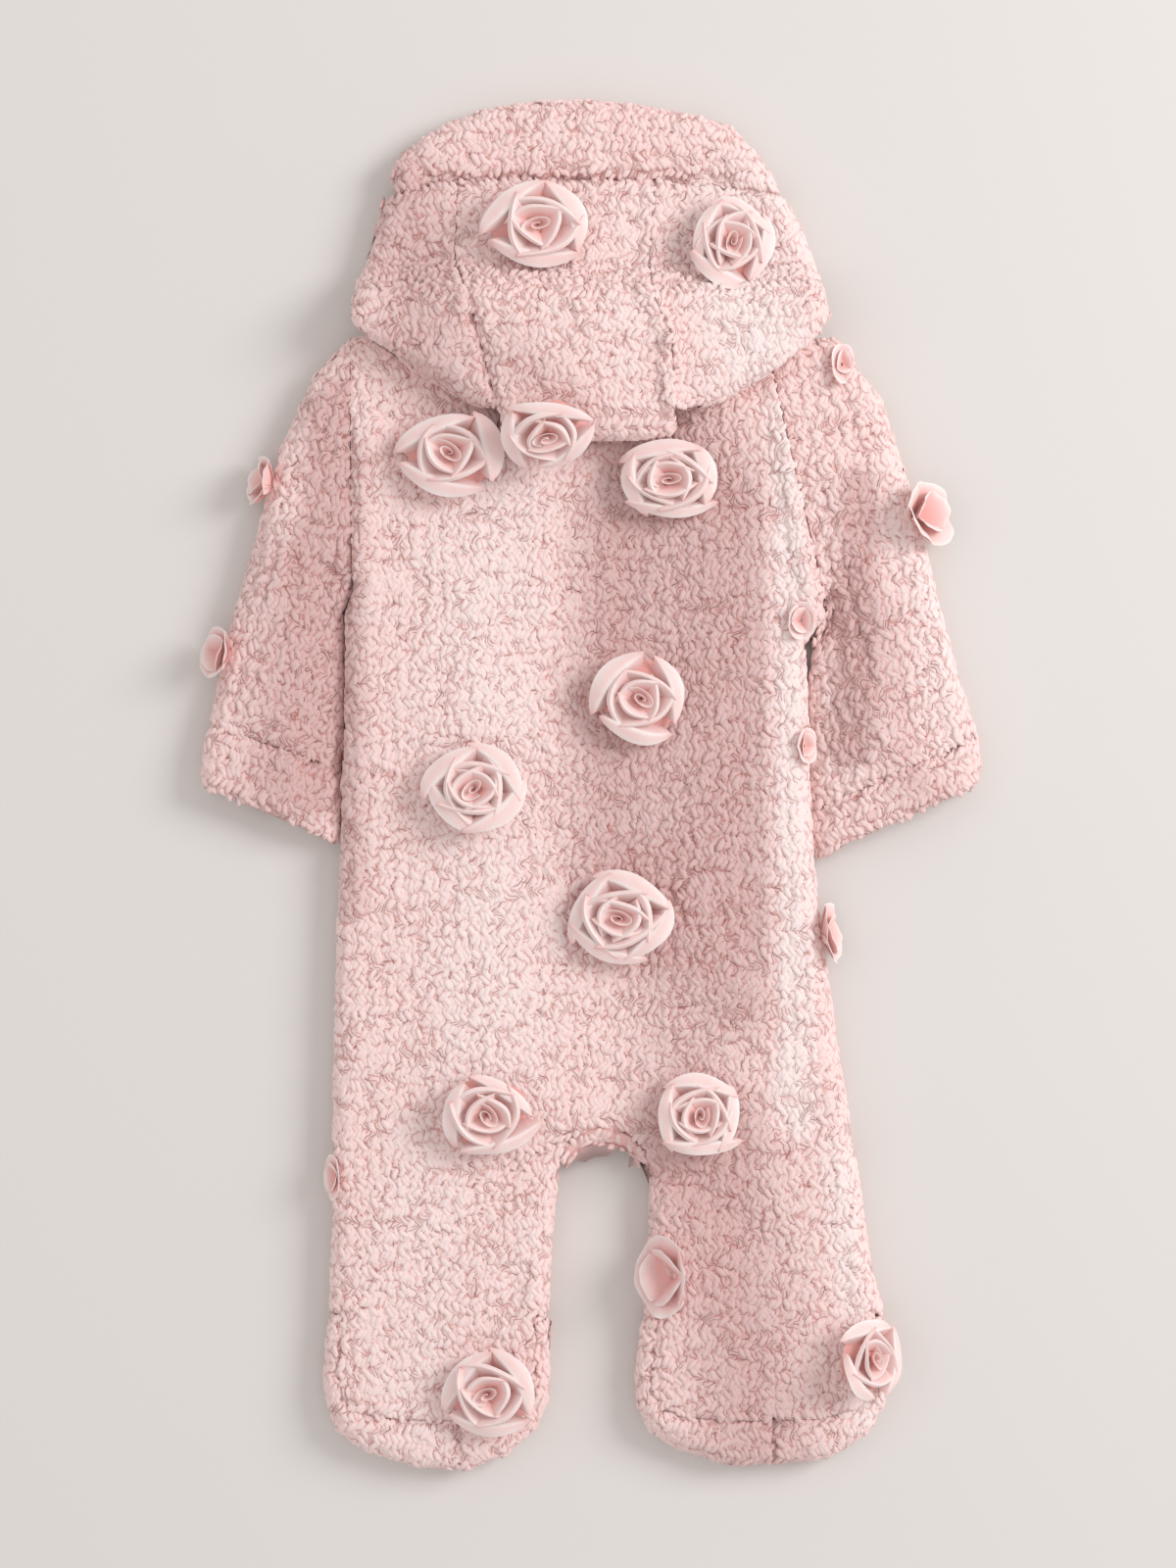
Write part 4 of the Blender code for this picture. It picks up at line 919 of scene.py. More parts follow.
def sheet(name, laid, part, coat):
    """A closed sheet of fleece: an outer layer with its tufts, a plain inner one, and the rim."""
    outer = laid.outer + laid.normal * laid.lift[:, None]
    outer = outer + laid.normal * np.where(covered(laid), SHEET_RISE, 0.0)[:, None]
    outer[:, 2] = np.maximum(outer[:, 2], FLOOR_GAP)
    inner = laid.base - laid.normal * INNER_DEPTH
    index, cells, at = laid.index, laid.cells, laid.at

    grid = np.concatenate([index, index[:, :1]], 1) if laid.wrap else index
    corners = np.stack([grid[:-1, :-1], grid[1:, :-1], grid[1:, 1:], grid[:-1, 1:]], -1)
    inside = np.zeros(corners.shape[:2], bool)
    for (r0, c0), _, (r1, c1), _ in cells:
        inside[r0:r1, c0:c1] = True

    used = {}
    for corner_list in cells:
        for r, c in corner_list:
            used.setdefault(at(r, c), len(outer) + len(used))
    faces = [tuple(quad) for quad in corners[inside]]
    for corner_list in cells:
        faces.append(tuple(used[at(r, c)] for r, c in reversed(corner_list)))
    for line in laid.paths:
        first, last = used[line[0]], used[line[-1]]
        faces += [(b, a, first) for a, b in zip(line, line[1:])]
        faces.append((line[-1], first, last))

    source = np.array(list(used), int)
    made = mesh_object(name, np.concatenate([outer, inner[source]]) * MM, faces, coat)
    inner_count = len(used)
    spread = np.concatenate([laid.cloth, laid.cloth[source] + 3.0])
    lying = np.concatenate([laid.edge, np.ones(inner_count)])
    # Painted shade: the sheet between the curls is painted deep; where no curls stand, it is painted paler
    # on higher tufts, as if lit.
    shown = np.where(covered(laid), SHEET_PAINTED_SHADE, laid.relief)
    shown = np.concatenate([shown, np.full(inner_count, INNER_TUFT)])
    # The banded painted light and shade, none on the inner layer.
    lean = np.concatenate([painted_shading_of(laid, part), np.zeros(inner_count)])
    give(made, cloth=np.column_stack([spread, lying]), tuft=shown, nap=lean)
    if faces_turned_in(made, laid.normal):
        made.data.flip_normals()
    return made


def turned(cloth, degrees):
    """Cloth coordinates turned, so that the pile runs down a sleeve."""
    cos, sin = math.cos(math.radians(degrees)), math.sin(math.radians(degrees))
    u, v = cloth.T
    return np.column_stack([u * cos + v * sin, v * cos - u * sin])


def faces_turned_in(made, normal):
    """Whether the first faces of the outer layer look inwards."""
    votes = 0.0
    for face in list(made.data.polygons)[:VOTES]:
        if face.vertices[0] < len(normal):
            votes += face.normal.dot(Vector(normal[face.vertices[0]]))
    return votes < 0


# ---------------------------------------------------------------- the plans of the pieces

PITCH = 1.2  # spacing of the points on the fleece
LEG_BLEND = 45.0  # above the legs, how far their folds still crowd the columns
TORSO_TOP_Y = 200.0  # the rows of points are straight from here
TORSO_END_Y = -158.0  # to here
LEG_END_Y = -268.0  # above the feet's arms
ANKLE_Y = LEFT_SIDE[-1].y
# About how wide the flat middles are, between their rounded edges, by which their columns are counted
LEG_WIDE = 95.0
CROTCH_HALF = 23.0  # half the way from one leg's inner edge to the other's
TUBE_WIDE = 60.0
PANEL_END_Y = 206.0  # where the hood's rows begin to follow its rounded lower end
PANEL_WIDE = 100.0  # the centre panel of the hood
SIDE_OVER, SIDE_UNDER = 62.0, 50.0  # a side panel above its folded edge's rounding, and below it
HOOD_LOW_Y = 235.0  # the hood's edges below this belong to its lower end
LEAST_FLAT = 3.0  # the least flat cloth counted beyond a folded edge


def fold_steps(pitch):
    """Steps round a quarter turn of a folded edge."""
    return steps(ROUND * math.pi / 2, 1.1 * pitch, 7)


def fold_turns(pitch):
    return np.linspace(0, math.pi / 2, fold_steps(pitch) + 1)


def leg_block(left, right, pitch, inset=0.0, folds=(1.0, 1.0)):
    """Columns of one leg, fine round both folded edges; left and right hold one value a row.

    folds says how far each side is a fold: 0 where the leg's cloth runs on flat into the body."""
    round_fold = inset + (ROUND - inset) * (1 - np.cos(fold_turns(pitch)))
    even = np.linspace(inset, ROUND, fold_steps(pitch) + 1)
    shares = [np.atleast_1d(fold)[:, None] for fold in folds]
    near_left, near_right = (even + (round_fold - even) * share for share in shares)
    middle = np.linspace(0, 1, steps(LEG_WIDE, pitch) + 1)[1:-1]
    left, right = np.atleast_1d(left)[:, None], np.atleast_1d(right)[:, None]
    inner = left + ROUND + (right - left - 2 * ROUND) * middle[None]
    return np.concatenate([left + near_left, inner, right - near_right[:, ::-1]], 1)


def block_spots(pitch):
    """Where each column of a leg block stands among a foot seam's eight points."""
    return np.concatenate([
        np.linspace(0, 2, fold_steps(pitch) + 1),
        np.linspace(2, 5, steps(LEG_WIDE, pitch) + 1)[1:-1],
        np.linspace(5, 7, fold_steps(pitch) + 1),
    ])


def middle_block(piece, y, pitch):
    """Columns between the legs' inner edges, which in the fronts stop at the zip."""
    left, right = INNER_LEGS[0].left, INNER_LEGS[0].right
    count = steps(CROTCH_HALF, pitch)
    half = np.where(y > ZIP_END_Y, ZIP_TROUGH, SEAM / 2)
    shares = np.linspace(0, 1, count + 1)[None]
    if piece == "front_left":
        end = (ZIP_X - half)[:, None]
        return left + (end - left) * shares[:, 1:]
    if piece == "front_right":
        start = (ZIP_X + half)[:, None]
        return start + (right - start) * shares[:, :-1]
    even = np.linspace(left, right, 2 * count + 1)[1:-1]
    return np.broadcast_to(even, (len(y), len(even)))


def torso_columns(piece, y, pitch):
    y = np.atleast_1d(y)
    blocks = []
    fold = smooth((ARCH_Y + LEG_BLEND - y) / LEG_BLEND)
    if piece != "front_right":
        line = np.full(len(y), INNER_LEGS[0].left)
        blocks.append(leg_block(left_x(y), line, pitch, folds=(1.0, fold)))
    blocks.append(middle_block(piece, y, pitch))
    if piece != "front_left":
        line = np.full(len(y), INNER_LEGS[0].right)
        blocks.append(leg_block(line, right_x(y), pitch, folds=(fold, 1.0)))
    return np.concatenate(blocks, 1)


def level(x, y):
    """Points side by side at one y."""
    return np.stack([x, np.full(len(x), y)], -1)


def down_to(start, stop, pitch):
    """Even values of y from a start down to a stop."""
    return np.append(np.arange(start, stop, -pitch), stop)


def between(first, last, pitch):
    """Rows from one row of points to another, without the first."""
    length = np.nanmedian(np.hypot(*(last - first).T))
    shares = np.linspace(0, 1, steps(length, pitch, 1) + 1)[1:]
    return [lerp(first, last, share) for share in shares]


def filled(stations, pitch, measured=slice(None)):
    """The stations, each one or more points, with even steps between them.

    A step's length is that of the measured point that moves furthest."""
    stations = [np.array(station, float) for station in stations]
    lines = []
    for first, last in zip(stations, stations[1:]):
        moves = (last - first)[measured].reshape(-1, 2)
        count = steps(max(np.hypot(*moves.T)), pitch, 1)
        lines += [lerp(first, last, i / count) for i in range(count)]
    return lines + stations[-1:]


def seam_row(foot, spots):
    """The leg's edge at the foot seam, just clear of the foot piece."""
    edge, seam = np.array(plan_points(foot, "edge")), np.array(plan_points(foot, "seam"))
    way = seam - edge
    seam = seam + way / np.hypot(*way.T)[:, None] * SEAM
    at = np.arange(len(foot))
    return np.stack([np.interp(spots, at, seam[:, 0]), np.interp(spots, at, seam[:, 1])], -1)


def arch_ends(piece, count):
    """The ends of a piece's middle columns, spread round the arch and clear of the gusset."""
    whole = piece == "back"
    turns = {"back": (180, 0), "front_left": (180, 90), "front_right": (90, 0)}[piece]
    ends = np.linspace(*turns, count + (2 if whole else 1))
    kept = {"back": slice(1, -1), "front_left": slice(1, None), "front_right": slice(None, -1)}[piece]
    return arch_point(ends[kept], GUSSET_DEPTH, 2 * SEAM)


def body_grid(piece, side, pitch):
    """The back or a front: rounded shoulders, the torso, the arch, and one or both legs."""
    neck_y = BACK_NECK_Y if piece == "back" else FRONT_NECK_Y
    rows = []
    for turn in fold_turns(pitch):
        drop = ROUND * (1 - math.cos(turn))
        x = torso_columns(piece, LEFT_SHOULDER[1] - drop, pitch)[0]
        rows.append(np.stack([x, top_y(x, neck_y) - drop], -1))
    straight = down_to(TORSO_TOP_Y, TORSO_END_Y, pitch)
    torso = [level(x, y) for x, y in zip(torso_columns(piece, straight, pitch), straight)]
    rows += between(rows[-1], torso[0], pitch)[:-1] + torso

    spots = block_spots(pitch)
    width, count = len(spots), len(rows[0])
    has_left, has_right = piece != "front_right", piece != "front_left"
    low = level(torso_columns(piece, ARCH_Y, pitch)[0], ARCH_Y)
    start = width if has_left else 0
    stop = count - width if has_right else count
    low[start:stop] = arch_ends(piece, stop - start)
    rows += between(rows[-1], low, pitch)
    arch_row = len(rows) - 1

    def leg_row(y, inset):
        row = np.full((count, 2), np.nan)
        if has_left:
            row[:width] = level(leg_block(left_x(y), along(INNER_LEGS, y, "left"), pitch, inset)[0], y)
        if has_right:
            right = leg_block(along(INNER_LEGS, y, "right"), right_x(y), pitch, inset)[0]
            row[count - width:] = level(right, y)
        return row

    arm_y, arm_inset = ARM_TOP + SEAM, ARM_DEPTH + SEAM
    rows += [leg_row(y, 0.0) for y in down_to(ARCH_Y - pitch, LEG_END_Y, pitch)]
    rows += between(rows[-1], leg_row(arm_y, arm_inset), pitch)
    rows += [leg_row(y, arm_inset) for y in down_to(arm_y - pitch, ANKLE_Y, pitch)]
    last = np.full((count, 2), np.nan)
    if has_left:
        last[:width] = seam_row(LEFT_FOOT, spots)
    if has_right:
        last[count - width:] = seam_row(RIGHT_FOOT, spots)
    rows += between(rows[-1], last, pitch)
    return Grid(np.stack(rows), side, keep_rows=(arch_row,), keep_columns=[width - 1, count - width])


def edge_grid(stations, pitch):
    """A piece that wraps over a folded edge, from its upper seam round to its lower one."""
    lines = filled(stations, pitch)
    deepest = max(math.dist(*line) for line in lines)
    flat_steps = steps(max(deepest - ROUND, LEAST_FLAT), pitch)
    plan, side = [], []
    for edge, seam in lines:
        depth = math.dist(edge, seam)
        shares = from_edge(depth, fold_steps(pitch), flat_steps) / depth
        row = edge + (seam - edge) * shares[:, None]
        plan.append(np.concatenate([row[::-1], row[1:]]))
        side.append([1] * len(row) + [-1] * (len(row) - 1))
    return Grid(plan, side)


def edge_stations(rows):
    return list(zip(plan_points(rows, "edge"), plan_points(rows, "seam")))


def foot_stations(foot, outer, inner, first_is_outer):
    """A foot's band: down one side of the leg, round the toes and up the other side."""
    arms = []
    for y in (ARM_TOP, ANKLE_Y):
        outer_x, inner_x = float(outer(y)), float(inner(y))
        way = ARM_DEPTH if inner_x > outer_x else -ARM_DEPTH
        arms.append((((outer_x, y), (outer_x + way, y)), ((inner_x, y), (inner_x - way, y))))
    start, end = (0, 1) if first_is_outer else (1, 0)
    return [arm[start] for arm in arms] + edge_stations(foot) + [arm[end] for arm in reversed(arms)]


def gusset_stations():
    turns = np.arange(150, 29, -30)
    return [(tuple(arch_point(t, 0)), tuple(arch_point(t, GUSSET_DEPTH))) for t in turns]


def tube_grid(rows, pitch):
    """A sleeve or a cuff: rings from the folded outer edge over to the inner one and back under."""
    plan, side, press = [], [], []
    for line in filled(rows, pitch, slice(0, 2)):
        outer, inner = line[:2], line[2:4]
        near = ROUND * (1 - np.cos(fold_turns(pitch))) / math.dist(outer, inner)
        flat = np.linspace(near[-1], 1 - near[-1], steps(TUBE_WIDE, pitch) + 1)[1:-1]
        shares = np.concatenate([near, flat, 1 - near[::-1]])
        row = outer + (inner - outer) * shares[:, None]
        plan.append(np.concatenate([row, row[-2:0:-1]]))
        side.append([1] * len(row) + [-1] * (len(row) - 2))
        press.append([line[4]] * (2 * len(row) - 2))
    return Grid(plan, side, press=press, ring=True)


def cuff_rows(sleeve, cuff):
    """The cuff's rings, the first just clear of the sleeve's last."""
    last, first = sleeve[-1], cuff[0]
    length = math.hypot(first.outer_x - last.outer_x, first.outer_y - last.outer_y)
    start = type(last)(*lerp(last, first, SEAM / length))
    return [start] + cuff


def bottom_y(x):
    """The hood's lower edge at x."""
    left = sorted(point for point in plan_points(HOOD_LEFT_EDGE) if point[1] < HOOD_LOW_Y)
    right = sorted(point for point in plan_points(HOOD_RIGHT_EDGE) if point[1] < HOOD_LOW_Y)
    line = left + plan_points(HOOD_BOTTOM) + right
    return np.interp(x, [p[0] for p in line], [p[1] for p in line])


def hood_centre_grid(pitch):
    """The centre panel: from the brim down over the rounded nape end, and back under it."""
    shares = np.linspace(0, 1, steps(PANEL_WIDE, pitch) + 1)

    def row_at(y):
        left = along(CENTRE_PANEL, y, "left") + SEAM / 2
        right = along(CENTRE_PANEL, y, "right") - SEAM / 2
        return left + (right - left) * shares

    over = [level(row_at(y), y) for y in down_to(BRIM_SEAM_Y - SEAM, PANEL_END_Y, pitch)]
    low = bottom_y(row_at(bottom_y(0.0)))
    turns = np.linspace(math.pi / 2, 0, fold_steps(pitch) + 1)
    heights = [low + ROUND * (1 - math.cos(turn)) for turn in turns]
    curl = [np.stack([row_at(y), y], -1) for y in heights]
    over += between(over[-1], curl[0], pitch)[:-1] + curl
    under = curl[-2::-1]
    for y in (PANEL_END_Y, NAPE_Y):
        under += between(under[-1], level(row_at(y), y), pitch)
    side = [1] * len(over) + [-1] * len(under)
    return Grid(over + under, np.array(side)[:, None])


def hood_side_grid(column, edge_rows, brim_end, pitch):
    """A side panel: from the centre seam out over the folded edge and back under to the face edge."""
    sign = -1 if column == "left" else 1
    corner_y = brim_end[1] - 2 * SEAM
    stations = [(
        (getattr(CENTRE_PANEL[0], column) + sign * SEAM / 2, BRIM_SEAM_Y - SEAM),
        (float(along(edge_rows, corner_y)), corner_y),
        (getattr(FACE_EDGE[0], column), corner_y),
    )]
    for y in SIDE_PANEL_ROWS:
        seam = (float(along(CENTRE_PANEL, y, column)) + sign * SEAM / 2, y)
        face = (float(along(FACE_EDGE, y, column)), y) if y >= FACE_EDGE[-1].y else seam
        stations.append((seam, (float(along(edge_rows, y)), y), face))
    plan, side = [], []
    for seam, edge, face in filled(stations, pitch):
        over, below = (
            edge + (end - edge) * (from_edge(far, fold_steps(pitch), steps(wide, pitch)) / far)[:, None]
            for end, far, wide in (
                (seam, math.dist(seam, edge), SIDE_OVER), (face, math.dist(edge, face), SIDE_UNDER),
            )
        )
        plan.append(np.concatenate([over[::-1], below[1:]]))
        side.append([1] * len(over) + [-1] * (len(below) - 1))
    return Grid(plan, side)


# ---------------------------------------------------------------- materials


def feed(tree, node, inputs):
    """Sets a node's inputs, named by their number, identifier or name: a value, or an output to link."""
    named = {socket.identifier: socket for socket in node.inputs}
    for key, value in inputs.items():
        socket = named.get(key) or node.inputs[key]
        if isinstance(value, bpy.types.NodeSocket):
            tree.links.new(value, socket)
        else:
            socket.default_value = value


def add_node(tree, kind, inputs, output=0, stops=(), **settings):
    """Adds a node with its settings and inputs, and gives one of its outputs.

    A tuple of inputs is in the sockets' order. stops are a colour ramp's places and colours."""
    node = tree.nodes.new(f"ShaderNode{kind}")
    for key, value in settings.items():
        setattr(node, key, value)
    feed(tree, node, inputs if isinstance(inputs, dict) else dict(enumerate(inputs)))
    for _ in stops[2:]:
        node.color_ramp.elements.new(0.5)
    for stop, (place, colour) in enumerate(stops):
        node.color_ramp.elements[stop].position = place
        node.color_ramp.elements[stop].color = colour
    return next(socket for socket in node.outputs if output in (0, socket.identifier, socket.name))


def new_material(name):
    """(material, its tree, its principled shader)"""
    made = bpy.data.materials.new(name)
    made.use_nodes = True
    return made, made.node_tree, made.node_tree.nodes["Principled BSDF"]


def weighed(tree, start, *parts):
    """The start, with each part added by its weight."""
    for part, weight in parts:
        start = add_node(tree, "Math", (part, weight, start), operation="MULTIPLY_ADD")
    return start


def painted_shading_colour(tree, shade, nap, places, colours):
    """The pile's colour, with light and shade painted in: paler where painted light falls, dusky in painted
    shade, and a warm pink painted as shade down in the valleys."""
    # Painted light where the shading is above nought, and painted shade deeper still below -1.1, down in the
    # valleys.
    painted_light = add_node(tree, "Math", (nap, 0.0), operation="MAXIMUM")
    valley = add_node(tree, "Math", (nap, 1.1), operation="ADD")
    valley = add_node(tree, "Math", (valley, 0.0), operation="MINIMUM")
    raised = weighed(tree, shade, (painted_light, 0.20), (valley, 0.55))
    # Painted shade: the colour is multiplied towards #E2D8D8 where the shading is below nought.
    away = add_node(tree, "Math", (nap, -0.9), operation="MULTIPLY", use_clamp=True)
    colour = add_node(tree, "ValToRGB", {"Fac": raised}, stops=list(zip(places, reversed(colours))))
    inputs = {"Factor_Float": away, "A_Color": colour, "B_Color": srgb("#E2D8D8")}
    return add_node(tree, "Mix", inputs, "Result_Color", data_type="RGBA", blend_type="MULTIPLY")


def drawn_curls(tree, cloth):
    """(dome, crease): the curls as drawn on the sheet, which shows where none are modelled."""
    # The rows of curls wander by a few millimetres and lean one way, then the other.
    inputs = {"Vector": cloth, "Scale": 1 / 11, "Detail": 2.0, "Roughness": 0.6}
    wander = add_node(tree, "TexNoise", inputs, "Color", noise_dimensions="2D")
    wander = add_node(tree, "VectorMath", (wander, (0.5, 0.5, 0.5)), operation="SUBTRACT")
    place = add_node(tree, "VectorMath", (wander, (12.0, 9.0, 0.0), cloth), operation="MULTIPLY_ADD")
    u, v = add_node(tree, "SeparateXYZ", (place,)).node.outputs[:2]
    lean = add_node(tree, "Math", (v, 1.1 * CURL_LONG), operation="PINGPONG")
    across = weighed(tree, u, (lean, 0.7))
    across = add_node(tree, "Math", (across, CURL_WIDE), operation="DIVIDE")
    down = add_node(tree, "Math", (v, CURL_LONG), operation="DIVIDE")
    inputs = {"Vector": add_node(tree, "CombineXYZ", (across, down)), "Scale": 1.0, "Randomness": 0.78}
    away, gap = (
        add_node(tree, "TexVoronoi", inputs, "Distance", voronoi_dimensions="2D", feature=feature)
        for feature in ("F1", "DISTANCE_TO_EDGE")
    )
    away = add_node(tree, "Math", (away, 0.86), operation="DIVIDE")
    away = add_node(tree, "Math", (away, away), operation="MULTIPLY")
    dome = add_node(tree, "Math", (1.0, away), operation="SUBTRACT", use_clamp=True)
    dome = add_node(tree, "Math", (dome,), operation="SQRT")
    crease = add_node(tree, "Math", (gap, 3.6), operation="MULTIPLY", use_clamp=True)
    crease = add_node(tree, "Math", (1.0, crease), operation="SUBTRACT")
    return dome, add_node(tree, "Math", (crease, crease), operation="MULTIPLY")


def teddy_fleece(name, colours, modelled):
    """Knitted polyester teddy fleece: each yarn end has shrunk to a curl like a grain of rice.

    The colour paints light and shade in: the curls' rounded tops are painted paler as if lit, and the knit
    between them darker as painted shade. The curls are modelled, or on the sheet below them drawn."""
    made, tree, shader = new_material(name)
    cloth, tuft, nap = (
        add_node(tree, "Attribute", (), output, attribute_name=measure)
        for measure, output in (("cloth", "Vector"), ("tuft", "Fac"), ("nap", "Fac"))
    )
    # Single fibres, drawn about three times too coarse so that they show.
    inputs = {"Vector": cloth, "Scale": 1.1, "Detail": 3.0, "Roughness": 0.7, "Distortion": 0.8}
    fibre = add_node(tree, "TexNoise", inputs, noise_dimensions="2D")
    patch = {"Vector": cloth, "Scale": 1 / 26, "Detail": 2.0}
    patches = add_node(tree, "TexNoise", patch, noise_dimensions="2D")
    if modelled:
        # Painted shade and light: each curl is painted deep at its foot and pale at its crown, as if lit
        # from above.
        shade = weighed(tree, 0.20, (tuft, 0.40))
        height, strength, distance = fibre, 0.5, 0.0006
        places = (0.0, 0.30, 0.56, 0.90)
    else:
        dome, crease = drawn_curls(tree, cloth)
        # Painted light on the drawn domes and painted shade in the drawn creases; they also make the bump.
        shade = weighed(tree, 0.0, (tuft, 0.42), (dome, 0.42), (crease, -0.30))
        height, strength, distance = weighed(tree, dome, (fibre, 0.25), (crease, -0.3)), 1.0, 0.0011
        places = (0.0, 0.22, 0.58, 1.0)
    shade = weighed(tree, shade, (fibre, 0.20), (patches, 0.14))
    feed(tree, shader, {
        "Base Color": painted_shading_colour(tree, shade, nap, places, colours),
        "Normal": add_node(tree, "Bump", {"Height": height, "Strength": strength, "Distance": distance}),
        "Roughness": 0.95,
        "Specular IOR Level": 0.12,
        "Sheen Weight": 0.45,
        "Sheen Roughness": 0.6,
        "Sheen Tint": srgb("#FFEDEB"),
    })
    return made


def chiffon(name, edge, pale, deep):
    """Polyester chiffon: a thin, crisp, half see-through weave, heat cut. Its colour is painted: pale as
    painted highlight on the folds' crests and the edges, deep pink as painted shade where the petals tuck
    in.
    """
    made, tree, shader = new_material(name)
    # The fold measure holds the painted shade and highlights of each point of the petals.
    fold = add_node(tree, "Attribute", (), "Fac", attribute_name="fold")
    spot = add_node(tree, "TexCoord", (), "Object")
    cloud = add_node(tree, "TexNoise", {"Vector": spot, "Scale": 140.0, "Detail": 2.0})
    cloud = add_node(tree, "Math", (cloud, 0.5), operation="SUBTRACT")
    cloud = add_node(tree, "Math", (cloud, 0.25), operation="MULTIPLY")
    depth = add_node(tree, "Math", (fold, cloud), operation="ADD", use_clamp=True)
    # edge is a painted highlight on the folds' crests and rims; deep is painted shade where the petals tuck
    # in.
    stops = ((0.0, srgb(edge)), (0.2, srgb(pale)), (1.0, srgb(deep)))
    colour = add_node(tree, "ValToRGB", {"Fac": depth}, stops=stops)
    inputs = {"Vector": spot, "Scale": 420.0, "Detail": 3.0, "Roughness": 0.6}
    crinkle = add_node(tree, "TexNoise", inputs)
    relief = add_node(tree, "Bump", {"Height": crinkle, "Strength": 0.4, "Distance": 0.0003})
    feed(tree, shader, {
        "Base Color": colour,
        "Normal": relief,
        "Roughness": 0.5,
        "Specular IOR Level": 0.3,
        "Sheen Weight": 0.3,
    })
    through = add_node(tree, "BsdfTranslucent", {"Color": colour, "Normal": relief})
    both = add_node(tree, "MixShader", (0.05, shader.outputs[0], through))
    feed(tree, tree.nodes["Material Output"], {"Surface": both})
    return made


def woven_tape(name, shade, colour):
    """Zip tape: polyester twill, its threads drawn 0.8 mm apart."""
    made, tree, shader = new_material(name)
    inputs = {"Vector": add_node(tree, "TexCoord", (), "Object"), "Scale": 200.0, "Distortion": 1.0}
    weave = add_node(tree, "TexWave", inputs, "Fac", bands_direction="DIAGONAL")
    stops = ((0.0, srgb(shade)), (1.0, srgb(colour)))
    feed(tree, shader, {
        "Base Color": add_node(tree, "ValToRGB", {"Fac": weave}, stops=stops),
        "Normal": add_node(tree, "Bump", {"Height": weave, "Strength": 0.5, "Distance": 0.0003}),
        "Roughness": 0.85,
    })
    return made


def clouded(name, shade, colour, scale, detail=2.0):
    """(material, its tree, its shader, clouds): two colours that mix in soft clouds."""
    made, tree, shader = new_material(name)
    inputs = {"Vector": add_node(tree, "TexCoord", (), "Object"), "Scale": scale, "Detail": detail}
    clouds = add_node(tree, "TexNoise", inputs)
    stops = ((0.3, srgb(shade)), (0.7, srgb(colour)))
    feed(tree, shader, {"Base Color": add_node(tree, "ValToRGB", {"Fac": clouds}, stops=stops)})
    return made, tree, shader, clouds


def pink_enamel(name, colour):
    """Zinc with a baked pink enamel: smooth, with a soft gloss and slight wear."""
    made, tree, shader, wear = clouded(name, "#D9A9A5", colour, 260.0, 3.0)
    feed(tree, shader, {"Roughness": weighed(tree, 0.25, (wear, 0.2)), "Coat Weight": 0.3})
    return made


def moulded_nylon(name, colour):
    """Dyed nylon filament of the zip's teeth: a waxy gloss, its colour a little deeper in soft random
    clouds.
    """
    made, tree, shader, _ = clouded(name, "#DFA9A4", colour, 300.0)
    feed(tree, shader, {"Roughness": 0.4, "IOR": 1.53})
    return made


def matt_paper(name, colour):
    """The plain paper floor: matt, with almost no shine."""
    made, tree, shader, _ = clouded(name, colour, colour, 3.0)
    feed(tree, shader, {"Roughness": 0.9, "Specular IOR Level": 0.1})
    return made


# ---------------------------------------------------------------- the roses

# Where each is sewn on, its size, lean and turn, and how many petals its outer ring has
ROSES = table(
    "on x y wide deep tall lean toward spin petals",
    ("hood", -27.0, 284.0, 52.0, 42.0, 18.0, 6.0, 300.0, 20.0, 3),
    ("hood", 70.0, 274.0, 42.0, 44.0, 18.0, 8.0, 20.0, 75.0, 4),
    ("hood", -21.0, 180.5, 46.0, 36.0, 17.0, 0.0, 0.0, 200.0, 3),
    ("body", -69.5, 168.0, 54.0, 40.0, 18.0, 6.0, 180.0, 130.0, 3),
    ("body", 40.5, 156.0, 50.0, 38.0, 18.0, 6.0, 250.0, 10.0, 4),
    ("body", 25.5, 45.0, 46.0, 43.0, 18.0, 5.0, 300.0, 140.0, 3),
    ("body", -58.0, -3.0, 48.0, 42.0, 18.0, 6.0, 120.0, 50.0, 4),
    ("body", 16.0, -67.0, 50.0, 43.0, 18.0, 5.0, 200.0, 160.0, 4),
    ("body", -53.0, -165.0, 48.0, 40.0, 18.0, 8.0, 300.0, 300.0, 3),
    ("body", 55.0, -168.0, 43.0, 39.0, 18.0, 6.0, 60.0, 90.0, 4),
    ("body", -50.0, -307.0, 48.0, 42.0, 17.0, 8.0, 200.0, 30.0, 3),
    ("body", 42.5, -249.0, 34.0, 40.0, 16.0, 40.0, 180.0, 270.0, 3),
    ("body", 138.0, -291.0, 34.0, 38.0, 16.0, 30.0, 10.0, 110.0, 3),
    ("sleeve", 165.5, 137.0, 34.0, 32.0, 16.0, 0.0, 0.0, 220.0, 3),
    ("body", 117.9, -76.0, 22.0, 30.0, 10.0, 0.0, 0.0, 60.0, 3),
    ("body", 108.5, 20.0, 12.0, 18.0, 5.0, 0.0, 0.0, 140.0, 3),
    ("body", 107.0, 84.0, 14.0, 18.0, 6.0, 0.0, 0.0, 330.0, 3),
    ("sleeve", -162.0, 153.0, 24.0, 26.0, 13.0, 0.0, 0.0, 15.0, 3),
    ("sleeve", -185.2, 66.0, 24.0, 28.0, 12.0, 0.0, 0.0, 190.0, 3),
    ("sleeve", 128.0, 214.0, 12.0, 20.0, 5.0, 0.0, 0.0, 240.0, 3),
    ("body", -129.0, -199.0, 12.0, 22.0, 5.0, 0.0, 0.0, 280.0, 3),
)

